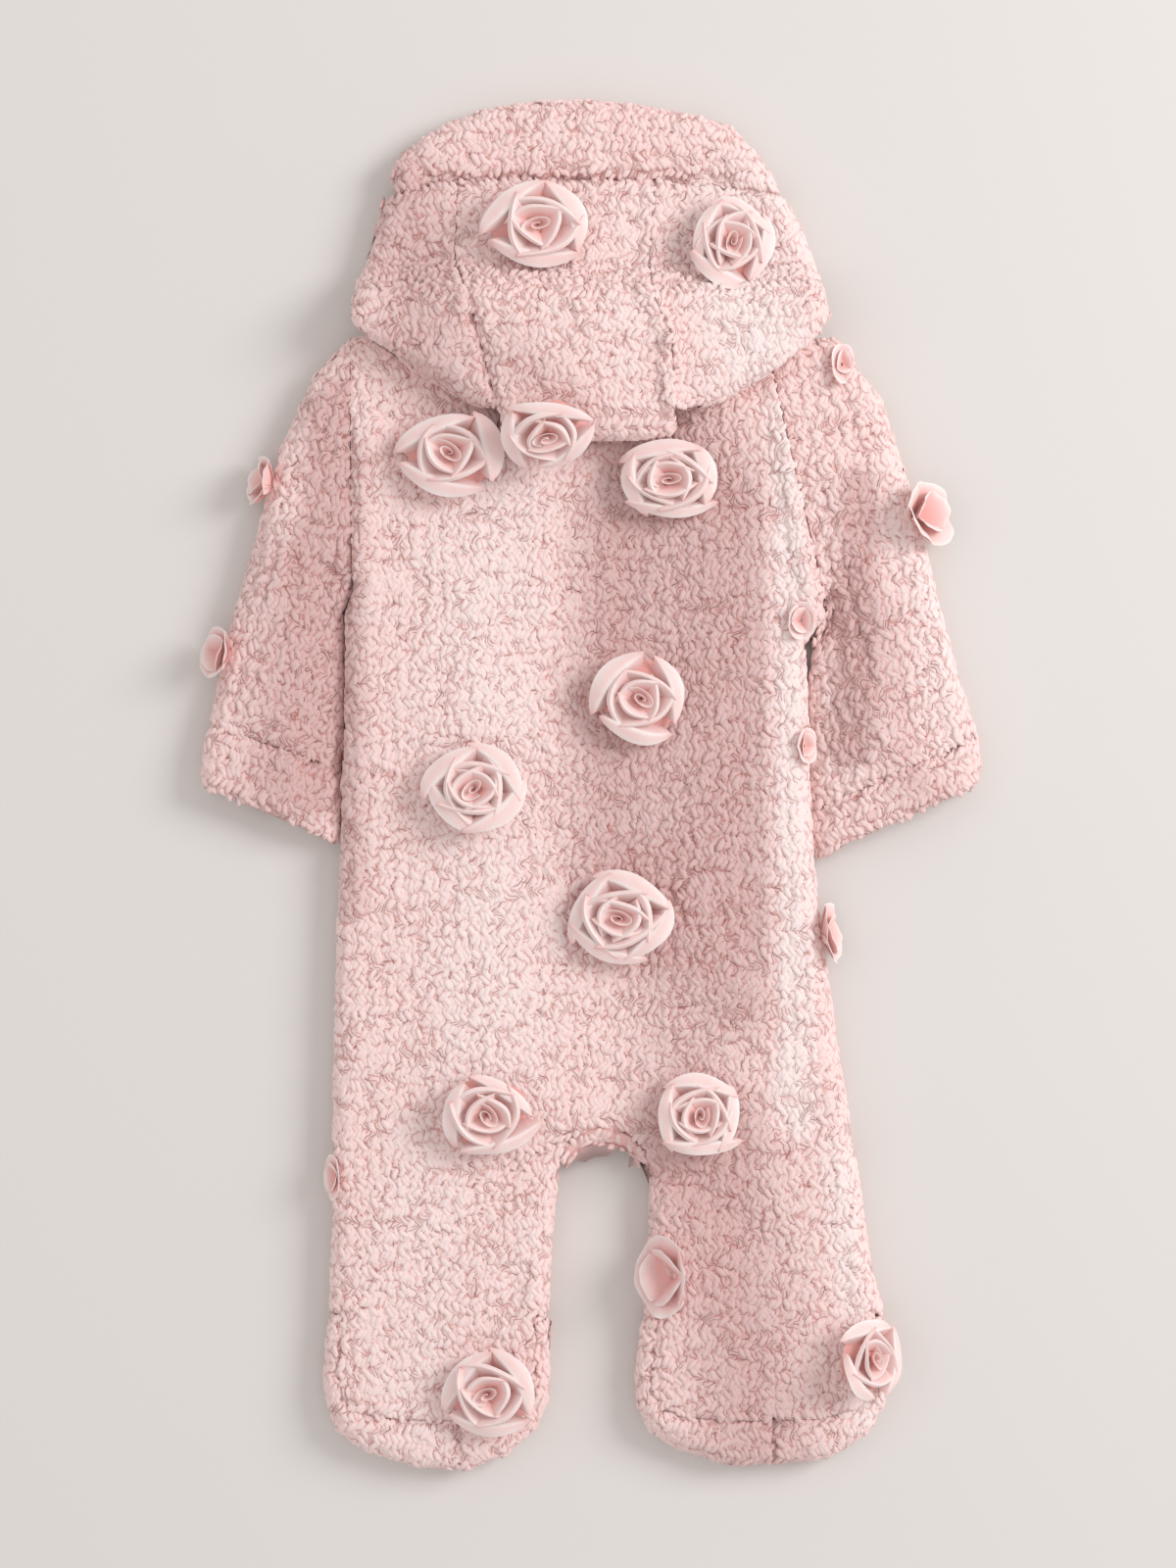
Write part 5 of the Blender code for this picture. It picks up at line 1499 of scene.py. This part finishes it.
# The rings of petals, as shares of the rose's radius and height. A petal is a strip folded over at
# its top: from above it is a lens between the straight fold and the round outer edge.
RINGS = table(
    "fold long lens slope curve top low turn",
    (0.66, 0.86, 0.34, 0.34, 0.10, 0.72, 0.26, 0.0),
    (0.60, 0.76, 0.07, 0.34, 0.26, 0.84, 0.46, 48.0),
    (0.38, 0.54, 0.06, 0.24, 0.20, 0.93, 0.60, 96.0),
)
# Roses sewn on near an edge are seen from their side, as a few broad petals that spread open
SIDE_ROSES = (12, 14, 15, 16, 17, 18, 19, 20, 21)
# Their rings: how many petals, how far out the rim is, how wide and how tall they stand, and the turn
OPEN_RINGS = table("petals rim wide tall turn", (4, 0.95, 0.72, 0.80, 0.0), (3, 0.56, 0.60, 1.0, 35.0))
# A petal's section, from the foot of its inner slope over the fold to its outer edge: how far out
# as a share of the slope or of the lens, how high, and how deep its painted shade is: deep at the foot,
# where it tucks under, and none on the fold's crest and the rim, which are painted as highlights
PETAL_SECTION = table(
    "out rise shade",
    (-1.00, 0.02, 0.62),
    (-0.75, 0.28, 0.50),
    (-0.50, 0.52, 0.36),
    (-0.26, 0.76, 0.24),
    (-0.08, 0.94, 0.16),
    (0.00, 1.00, 0.00),
    (0.08, 1.01, 0.05),
    (0.34, 0.97, 0.22),
    (0.60, 0.90, 0.18),
    (0.84, 0.81, 0.10),
    (1.00, 0.74, 0.00),
)
# The rolled middle's rows, from low to high: how high, how far it flares, and how deep its painted shade is,
# deepest at the foot
BUD_SECTION = table(
    "rise flare shade",
    (0.62, 0.25, 0.62),
    (0.72, 0.55, 0.45),
    (0.84, 0.82, 0.28),
    (0.95, 1.00, 0.10),
    (0.98, 1.06, 0.00),
)
BUD_TURNS = 1.6
PETAL_COLUMNS = 13
RADIUS = 0.5  # a rose is modelled one unit wide, deep and tall
CHIFFON_THICK = 0.22
SHARP = 50  # degrees between faces, over which an edge is shown sharp
ROSE_SEED, RING_SEED = 31, 7


def variations(number, seed, count):
    """A few numbers from 0 to 1 for one petal."""
    return [float(scatter(number + 0.5, k + 0.5, seed)) for k in range(count)]


def columns_of(rows):
    """A table's columns, each as a column of numbers."""
    return (np.array(column)[:, None] for column in zip(*rows))


def about_axis(away, side, height, direction):
    """Points about the rose's own axis: how far away in a direction, how far to its side, how high."""
    cos, sin = math.cos(direction), math.sin(direction)
    return np.stack([away * cos - side * sin, away * sin + side * cos, height], -1)


def petal(ring, direction, number):
    """(points, fold shade) of one petal about the rose's own axis, by rows and columns."""
    s = np.linspace(-1, 1, PETAL_COLUMNS)[None]
    out, rise, shade = columns_of(PETAL_SECTION)
    vary = variations(number, 11, 7)
    lens = ring.lens * (0.85 + 0.3 * vary[3]) * (0.06 + 0.94 * np.maximum(1 - s * s, 0) ** 0.8)
    slope = ring.slope * (1 - 0.45 * s * s)
    fold = ring.fold * (0.88 + 0.24 * vary[1]) + 0.10 * ring.fold * s + 0.03 * np.sin(3 * s + 6 * vary[2])
    away = RADIUS * (fold - ring.curve * s * s + np.where(out > 0, lens, slope) * out)
    spread = 1 + 0.06 * np.maximum(out, 0) + 0.35 * np.minimum(out, 0)
    side = RADIUS * ring.long * (0.92 + 0.16 * vary[4]) * s * spread
    top = ring.top - 0.14 * s * s - 0.06 * s + 0.05 * vary[5]
    height = ring.low + (top - ring.low) * rise
    height = height + 0.03 * np.sin(5 * s + 6 * vary[6]) * np.maximum(out, 0)
    # Painted shade from the section, and deeper towards the petal's two ends.
    shade = np.maximum(shade * np.ones_like(s), 0.45 * np.abs(s) ** 6)
    return about_axis(away, side, height, direction), shade


def bud(spin, number):
    """The rolled middle: a strip wound a turn and a half, opening out like a funnel to an oval."""
    turns = np.linspace(0, BUD_TURNS, 34)[None]
    rise, flare, shade = columns_of(BUD_SECTION)
    reach = RADIUS * (0.035 + 0.15 * turns) * flare
    angle = 2 * math.pi * turns + spin
    height = rise * (1.03 - 0.07 * turns) + 0.02 * np.sin(angle * 1.5 + number)
    points = about_axis(1.3 * reach * np.cos(angle), 0.75 * reach * np.sin(angle), height, spin)
    return points, shade * np.ones_like(turns)


def cup(spin):
    """The gathered base of the strip, which fills the rose behind its petals."""
    out = np.array([0.04, 0.25, 0.5, 0.72, 0.88])[:, None]
    angle = np.linspace(0, 2 * math.pi, 29)[None]
    away = RADIUS * out * (1 + 0.05 * np.sin(5 * angle))
    height = 0.56 - 0.42 * out * out + 0.03 * np.sin(7 * angle + 9 * out)
    points = np.stack([away * np.cos(angle + spin), away * np.sin(angle + spin), height], -1)
    # Painted shade: the whole base is painted deep, down inside the rose.
    return points, np.full(height.shape, 0.9)


def open_petal(ring, direction, number):
    """One broad petal of an open rose, from its narrow foot to its rounded, ruffled rim."""
    s = np.linspace(-1, 1, PETAL_COLUMNS)[None]
    up = np.linspace(0, 1, 9)[:, None]
    vary = variations(number, 13, 3)
    rim = ring.rim * (0.85 + 0.3 * vary[0])
    away = RADIUS * (0.10 + (rim - 0.10) * up**0.85 * (1 - 0.30 * s * s))
    away = away + RADIUS * 0.10 * up**4 * (1 - s * s)
    side = RADIUS * ring.wide * (0.35 + 0.65 * np.sin(0.5 * math.pi * np.minimum(1.25 * up, 1))) * s
    height = ring.tall * (0.04 + 0.96 * up * (1 - 0.22 * s * s) - 0.16 * up**5)
    ruffle = np.sin(4 * s + 6 * vary[1]) + 0.5 * np.sin(9 * s + 6 * vary[2])
    height = height + 0.035 * up * ruffle
    # Painted shade at the foot, fading up the petal to a painted highlight on the rim.
    shade = np.clip(0.75 - 0.65 * up, 0.0, 1.0) * np.ones_like(s)
    shade[-1] = 0.0
    return about_axis(away, side, height, direction), shade


def rose_surface(row, number):
    """All of a rose's strips, as (points, shade) grids about its own axis."""
    spin = math.radians(row.spin)
    opened = number in SIDE_ROSES
    grids = [] if opened else [cup(spin)]
    for r, ring in enumerate(OPEN_RINGS if opened else RINGS):
        count = ring.petals if opened else row.petals
        for p in range(count):
            seed = number * ROSE_SEED + r * RING_SEED + p
            direction = spin + math.radians(ring.turn) + 2 * math.pi * p / count
            if opened:
                grids.append(open_petal(ring, direction, seed))
            else:
                sway = varied((seed, 3.0), 0.0, 0.25, 12)
                grids.append(petal(ring, direction + sway, seed))
    return grids if opened else grids + [bud(spin, number)]


def rose_frame(row, part):
    """(middle of the base, side, front and up) of a rose, as it is sewn on."""
    outer, normal, _ = part.layer(np.array([[row.x, row.y]]), np.array([1.0]))
    away = math.radians(row.toward)
    lean = Matrix.Rotation(math.radians(row.lean), 3, Vector((-math.sin(away), math.cos(away), 0.0)))
    up = lean @ Vector(normal[0])
    side = Vector((1, 0, 0)) if abs(up.x) < 0.7 else Vector((0, 1, 0))
    front = up.cross(side).normalized()
    side = front.cross(up).normalized()
    if abs(side.y) > abs(side.x):
        side, front = -front, side
    return np.array(outer[0]), np.array(side), np.array(front), np.array(up)


def rose_part(row):
    if row.on == "sleeve":
        return SLEEVES["left"] if row.x < 0 else SLEEVES["right"]
    return HOOD if row.on == "hood" else BODY


def inside_lines(lines, plan):
    """Whether each plan point is on the cloth's side of its nearest folded edge."""
    starts, runs = edge_runs(lines)
    part = plan[:, None] - starts[None]
    share = np.clip((part * runs).sum(2) / (runs * runs).sum(1), 0, 1)
    gaps = np.hypot(*(part - share[..., None] * runs).transpose(2, 0, 1))
    found = gaps.argmin(1)
    at = np.arange(len(plan))
    cross = runs[found, 0] * part[at, found, 1] - runs[found, 1] * part[at, found, 0]
    return cross > 0


PETAL_REST = 1.2  # how high over the fleece a petal that would sink in is laid
PETAL_FLOOR = 0.6  # and how high over the floor


def place_points(points, row, part):
    """Sets a rose's points on the fleece; what would sink in is pressed flat on it."""
    origin, side, front, up = rose_frame(row, part)
    flat = points.reshape(-1, 3)
    placed = origin + flat[:, :1] * row.wide * side + flat[:, 1:2] * row.deep * front
    placed = placed + (flat[:, 2:] * row.tall + SEAM) * up
    over = inside_lines(part.lines, placed[:, :2])
    top = part.layer(placed[:, :2], np.ones(len(placed)))[0][:, 2] + PETAL_REST
    placed[:, 2] = np.where(over, np.maximum(placed[:, 2], top), placed[:, 2])
    placed[:, 2] = np.maximum(placed[:, 2], PETAL_FLOOR)
    return placed


def make_rose(number, row, coat):
    part = rose_part(row)
    vertices, faces, shades = [], [], []
    start = 0
    for points, shade in rose_surface(row, number):
        vertices.append(place_points(points, row, part))
        shades.append(shade.ravel())
        ids = start + np.arange(shade.size).reshape(shade.shape)
        start += shade.size
        quads = np.stack([ids[:-1, :-1], ids[:-1, 1:], ids[1:, 1:], ids[1:, :-1]], -1).reshape(-1, 4)
        faces += [tuple(quad) for quad in quads]
    made = mesh_object(f"rose_petals_{number:02d}", np.concatenate(vertices) * MM, faces, coat)
    # The fold measure holds the painted shade and highlights of each point.
    give(made, fold=np.concatenate(shades))
    wall = made.modifiers.new("chiffon", "SOLIDIFY")
    wall.thickness = CHIFFON_THICK * MM
    wall.offset = 0.0
    apply_modifiers(made)
    made.data.set_sharp_from_angle(angle=math.radians(SHARP))
    return made


def apply_modifiers(made):
    bpy.ops.object.select_all(action="DESELECT")
    bpy.context.view_layer.objects.active = made
    made.select_set(True)
    for modifier in list(made.modifiers):
        bpy.ops.object.modifier_apply(modifier=modifier.name)
    made.select_set(False)


# ---------------------------------------------------------------- settings, operators and panel


# The fleece's colours, from the curls' tips down to the knit between them: painted light on the crowns, the
# fleece's own pink, and painted shade deepening down between the curls and in the valleys
TIP = srgb("#FFEDEB")
BELOW_TIP = tuple(srgb(code) for code in ("#FCD9D6", "#EBB3AE", "#D88F88"))
HEM_FLEECE = tuple(srgb(code) for code in ("#FFEAE8", "#FAD5D2", "#E8ADA7", "#D48981"))


class PramsuitSettings(bpy.types.PropertyGroup):
    """Sizes and colours that can be changed before the pieces are built."""

    pile: FloatProperty(
        name="Pile relief", description="Height of the fleece's tufts", default=2.2 * MM, unit="LENGTH"
    )
    pitch: FloatProperty(
        name="Fineness", description="Spacing of the points on the fleece",
        default=PITCH * MM, unit="LENGTH",
    )
    # The tip colour is the palest stop of the ramp: the crowns' painted light as well as the fleece's own
    # palest pink.
    tip: FloatVectorProperty(
        name="Tip colour", description="Colour of the curls' rounded tops, on all but the hems",
        subtype="COLOR", size=4, default=TIP, min=0, max=1,
    )


def settings():
    return bpy.context.scene.pramsuit


# How each piece of fleece was cut and lies: the size of its blank, its flat area, and what it lies on
SHEETS = table(
    "piece width length area held slot rests_on",
    ("back", 0.290, 0.570, 0.1355, "laid", "fleece", ["front_left", "front_right"]),
    ("front_left", 0.150, 0.570, 0.0685, "laid", "fleece", ["floor"]),
    ("front_right", 0.165, 0.570, 0.0622, "laid", "fleece", ["floor"]),
    ("crotch_gusset", 0.036, 0.062, 0.0016, "laid", "fleece", ["floor"]),
    ("foot_left", 0.048, 0.205, 0.0067, "folded", "fleece", ["floor"]),
    ("foot_right", 0.048, 0.220, 0.0071, "folded", "fleece", ["floor"]),
    ("sleeve_left", 0.150, 0.235, 0.0194, "laid", "fleece", ["floor"]),
    ("sleeve_right", 0.170, 0.270, 0.0287, "laid", "fleece", ["floor"]),
    ("cuff_left", 0.045, 0.160, 0.0053, "folded", "hem_fleece", ["floor"]),
    ("cuff_right", 0.042, 0.180, 0.0047, "folded", "hem_fleece", ["floor"]),
    ("hood_centre", 0.110, 0.215, 0.0201, "laid", "fleece", ["back"]),
    ("hood_left", 0.120, 0.150, 0.0122, "laid", "fleece", ["back"]),
    ("hood_right", 0.140, 0.160, 0.0163, "laid", "fleece", ["back"]),
    ("hood_band", 0.090, 0.225, 0.0142, "folded", "hem_fleece", ["floor"]),
)
GUSSET_PITCH = 0.9  # the gusset is small, and its points stand closer


def declare(made, node, slot, held, rests_on, area=None, with_pieces=()):
    """Puts a finished sheet in its node's place."""
    if not len(made.data.polygons):
        raise RuntimeError(f"{node} has no cloth")
    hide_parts(node)
    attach(made, GARMENT)
    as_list(rests_on)
    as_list(with_pieces)


def sew(name, node, grid, part, coats, plump=1.0, pitch=None, **lie):
    """Lays a piece of fleece with its curls, and puts it in its node's place."""
    row = next(row for row in SHEETS if row.piece == node)
    pile = plump * (settings().pile / MM)
    made, curls = pelt(name, grid, part, pile, coats, pitch or settings().pitch / MM, **lie)
    declare(made, node, row.slot, row.held, row.rests_on, row.area, curls)


def fleece_coats(of, colours=None):
    """(the sheet's material, the curls' material) of some pieces; those without colours of their own
    have the tip that is set."""
    colours = colours or (tuple(settings().tip), *BELOW_TIP)
    return (
        teddy_fleece(f"teddy fleece of the {of}", colours, modelled=False),
        teddy_fleece(f"teddy curls of the {of}", colours, modelled=True),
    )


class PRAMSUIT_OT_body(bpy.types.Operator):
    """Builds the back, the two fronts, the crotch gusset and the feet"""

    bl_idname = "pramsuit.body"
    bl_label = "Body"

    def execute(self, context):
        coats = fleece_coats("body")
        sew("body_back", "back", functools.partial(body_grid, "back", 1), BODY, coats, cords=0.45)
        for piece in ("front_left", "front_right"):
            grid = functools.partial(body_grid, piece, -1)
            sew(f"body_{piece}", piece, grid, BODY, coats, grounded=True)
        # The gusset's sheet has the curls' material too: drawn curls show as grey shards in the arch.
        sew(
            "gusset", "crotch_gusset", functools.partial(edge_grid, gusset_stations()), BODY,
            (coats[1], coats[1]), pitch=GUSSET_PITCH, cords=0.0, groove=1.0, grounded=True, stride=6,
        )
        inner_left, inner_right = (
            functools.partial(along, INNER_LEGS, column=column) for column in ("left", "right")
        )
        feet = {
            "left": foot_stations(LEFT_FOOT, left_x, inner_left, True),
            "right": foot_stations(RIGHT_FOOT, right_x, inner_right, False),
        }
        for side, stations in feet.items():
            grid = functools.partial(edge_grid, stations)
            sew(f"foot_wrap_{side}", f"foot_{side}", grid, BODY, coats, cords=0.1, groove=2.2, grounded=True)
        return {"FINISHED"}


class PRAMSUIT_OT_sleeves(bpy.types.Operator):
    """Builds the two sleeves and their turned-up cuffs"""

    bl_idname = "pramsuit.sleeves"
    bl_label = "Sleeves and cuffs"

    def execute(self, context):
        coats = fleece_coats("sleeves")
        hems = fleece_coats("cuffs", HEM_FLEECE)
        rows = {"left": (LEFT_SLEEVE, LEFT_CUFF, -16.0), "right": (RIGHT_SLEEVE, RIGHT_CUFF, 14.0)}
        for side, (sleeve, cuff, turn) in rows.items():
            part = SLEEVES[side]
            lie = {"grounded": True, "turn": turn}
            grid = functools.partial(tube_grid, sleeve)
            sew(f"arm_{side}", f"sleeve_{side}", grid, part, coats, cords=0.8, **lie)
            grid = functools.partial(tube_grid, cuff_rows(sleeve, cuff))
            sew(f"arm_hem_{side}", f"cuff_{side}", grid, part, hems, cords=0.1, groove=2.0, **lie)
        return {"FINISHED"}


class PRAMSUIT_OT_hood(bpy.types.Operator):
    """Builds the three panels of the hood and the band round its edge"""

    bl_idname = "pramsuit.hood"
    bl_label = "Hood"

    def execute(self, context):
        coats = fleece_coats("hood")
        hems = fleece_coats("hood band", HEM_FLEECE)
        sew("hood_middle", "hood_centre", hood_centre_grid, HOOD, coats, cords=0.25)
        sides = (("left", HOOD_LEFT_EDGE, BRIM_LEFT), ("right", HOOD_RIGHT_EDGE, BRIM_RIGHT))
        for side, edges, brim_end in sides:
            grid = functools.partial(hood_side_grid, side, edges, brim_end)
            sew(f"hood_side_{side}", f"hood_{side}", grid, HOOD, coats, cords=0.3)
        grid = functools.partial(edge_grid, edge_stations(BRIM))
        sew("hood_hem", "hood_band", grid, HOOD, hems, plump=1.25, cords=0.0, groove=2.2, grounded=True)
        return {"FINISHED"}


class PRAMSUIT_OT_roses(bpy.types.Operator):
    """Folds and sews on the chiffon roses"""

    bl_idname = "pramsuit.roses"
    bl_label = "Roses"

    def execute(self, context):
        coat = chiffon("polyester chiffon", "#FFF3F1", "#FFE0DD", "#F3ABA4")
        for number, row in enumerate(ROSES, 1):
            made = make_rose(number, row, coat)
            sleeve = "sleeve_left" if row.x < 0 else "sleeve_right"
            below = {"hood": "hood_centre", "body": "back", "sleeve": sleeve}[row.on]
            declare(made, f"rose_{number:02d}", "chiffon", "gathered", [below])
        return {"FINISHED"}


COIL_HALF = 2.4  # half the width of the closed teeth
COIL_PROUD = 0.25  # how far the teeth stand out past it
TOOTH = (2.9, 0.95, 2.0)  # how wide, long and deep one tooth is
TOOTH_ROUND = 0.3
TOOTH_PITCH = 1.5
TOOTH_LOW = 0.2  # how far the teeth reach below the tape's own coil, clear of the slider
ZIP_TOP_CLEAR = 5.0  # tape without teeth at its upper end
ZIP_FOOT_CLEAR = 3.0  # and at its lower end


def zip_teeth(coat):
    """Both sides' teeth, meshed: one rounded tooth, copied down the tape and across."""
    tape_low, tape_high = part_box("zip_tape")
    start = tape_high.y - ZIP_TOP_CLEAR * MM
    count = int((start - ZIP_END_Y * MM - ZIP_FOOT_CLEAR * MM) / (TOOTH_PITCH * MM))
    sides = []
    for sign in (-1, 1):
        x = ZIP_X + sign * (COIL_HALF + COIL_PROUD - TOOTH[0] / 2)
        z = tape_low.z / MM - TOOTH_LOW + TOOTH[2] / 2
        y = start - (0.5 + 0.25 * sign) * TOOTH_PITCH * MM
        bpy.ops.mesh.primitive_cube_add(size=1.0, location=(x * MM, y, z * MM))
        tooth = bpy.context.object
        tooth.scale = [size * MM for size in TOOTH]
        bpy.ops.object.transform_apply(location=True, rotation=True, scale=True)
        round_off = tooth.modifiers.new("rounded", "BEVEL")
        round_off.width = TOOTH_ROUND * MM
        round_off.segments = 1
        row = tooth.modifiers.new("down the tape", "ARRAY")
        row.use_relative_offset = False
        row.use_constant_offset = True
        row.constant_offset_displace = (0.0, -TOOTH_PITCH * MM, 0.0)
        row.count = count
        apply_modifiers(tooth)
        sides.append(tooth)
    bpy.ops.object.select_all(action="DESELECT")
    for tooth in sides:
        tooth.select_set(True)
    bpy.context.view_layer.objects.active = sides[0]
    bpy.ops.object.join()
    teeth = bpy.context.object
    teeth.name = "zip_teeth"
    teeth.data.name = "zip_teeth"
    teeth.data.materials.append(coat)
    bpy.ops.object.select_all(action="DESELECT")
    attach(teeth, GARMENT)
    return teeth


class PRAMSUIT_OT_zip(bpy.types.Operator):
    """Gives the zip its tape, its enamelled slider and pull, and its teeth"""

    bl_idname = "pramsuit.zip"
    bl_label = "Zip"

    def execute(self, context):
        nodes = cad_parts
        coats = {
            "zip_tape": woven_tape("zip tape twill", "#C9908C", "#E9C4C1"),
            "zip_slider": pink_enamel("pink enamelled zinc", "#E6BDB9"),
            "zip_pull": pink_enamel("pink enamelled zinc of the pull", "#E8C0BC"),
        }
        for name, coat in coats.items():
            nodes[name].data.materials.clear()
            nodes[name].data.materials.append(coat)
        if not len(zip_teeth(moulded_nylon("moulded nylon coil", "#EBC3BF")).data.polygons):
            raise RuntimeError("the zip has no teeth")
        return {"FINISHED"}


# The stage, in metres
VIEW_HEIGHT = 0.800  # of floor from the frame's top to its bottom
LENS = 85.0  # millimetres, as is the film
FILM = 36.0
FLOOR_SIZE = 60.0
FLOOR_Z = -0.0005
SKY = 0.65  # how bright the world is
CAMERA_PLACE = (-0.001, 0.00075)
CAMERA_RISE = 0.012
LAMPS = table(
    "name place size power",
    ("key", (2.2, 0.9, 1.7), 1.5, 46.0),
    ("fill", (-1.7, 0.1, 1.8), 1.8, 3.0),
)


class PRAMSUIT_OT_stage(bpy.types.Operator):
    """Lays the floor and sets the lights and the camera"""

    bl_idname = "pramsuit.stage"
    bl_label = "Stage"

    def execute(self, context):
        bpy.ops.mesh.primitive_plane_add(size=FLOOR_SIZE, location=(0, 0, FLOOR_Z))
        floor = context.object
        floor.name = "floor"
        floor.data.materials.append(matt_paper("matt paper floor", "#E6E2DF"))
        bpy.ops.object.transform_apply(location=True, rotation=True, scale=True)
        floor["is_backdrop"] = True
        for row in LAMPS:
            bpy.ops.object.light_add(type="AREA", location=row.place)
            lamp = context.object
            lamp.name = row.name
            lamp.data.shape = "DISK"
            lamp.data.size = row.size
            lamp.data.energy = row.power
            lamp.rotation_euler = Vector(row.place).to_track_quat("Z", "Y").to_euler()
        world = context.scene.world or bpy.data.worlds.new("studio")
        context.scene.world = world
        world.use_nodes = True
        sky = world.node_tree.nodes["Background"]
        feed(world.node_tree, sky, {"Color": srgb("#FFFCFA"), "Strength": SKY})
        height = VIEW_HEIGHT * LENS / FILM + CAMERA_RISE
        bpy.ops.object.camera_add(location=(*CAMERA_PLACE, height), rotation=(0, 0, 0))
        camera = context.object
        camera.data.lens = LENS
        camera.data.sensor_fit = "VERTICAL"
        camera.data.sensor_height = FILM
        context.scene.camera = camera
        context.scene.view_settings.view_transform = "Standard"
        return {"FINISHED"}


OPERATORS = (
    PRAMSUIT_OT_body,
    PRAMSUIT_OT_sleeves,
    PRAMSUIT_OT_hood,
    PRAMSUIT_OT_roses,
    PRAMSUIT_OT_zip,
    PRAMSUIT_OT_stage,
)


class PRAMSUIT_PT_panel(bpy.types.Panel):
    """The pramsuit's settings and its pieces"""

    bl_idname = "PRAMSUIT_PT_panel"
    bl_label = "Pramsuit"
    bl_space_type = "VIEW_3D"
    bl_region_type = "UI"
    bl_category = "Pramsuit"

    def draw(self, context):
        for name in ("pile", "pitch", "tip"):
            self.layout.prop(context.scene.pramsuit, name)
        for operator in OPERATORS:
            self.layout.operator(operator.bl_idname)


CLASSES = (PramsuitSettings, *OPERATORS, PRAMSUIT_PT_panel)


def register():
    for item in CLASSES:
        bpy.utils.register_class(item)
    bpy.types.Scene.pramsuit = PointerProperty(type=PramsuitSettings)


def unregister():
    del bpy.types.Scene.pramsuit
    for item in reversed(CLASSES):
        bpy.utils.unregister_class(item)


def main():
    register()
    bpy.ops.pramsuit.body()
    bpy.ops.pramsuit.sleeves()
    bpy.ops.pramsuit.hood()
    bpy.ops.pramsuit.roses()
    bpy.ops.pramsuit.zip()
    bpy.ops.pramsuit.stage()
    sizes = {"cad": CAD_BOX, "visual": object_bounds()}
    plain = {key: [[float(v) for v in corner] for corner in box] for key, box in sizes.items()}


if __name__ == "__main__":
    main()
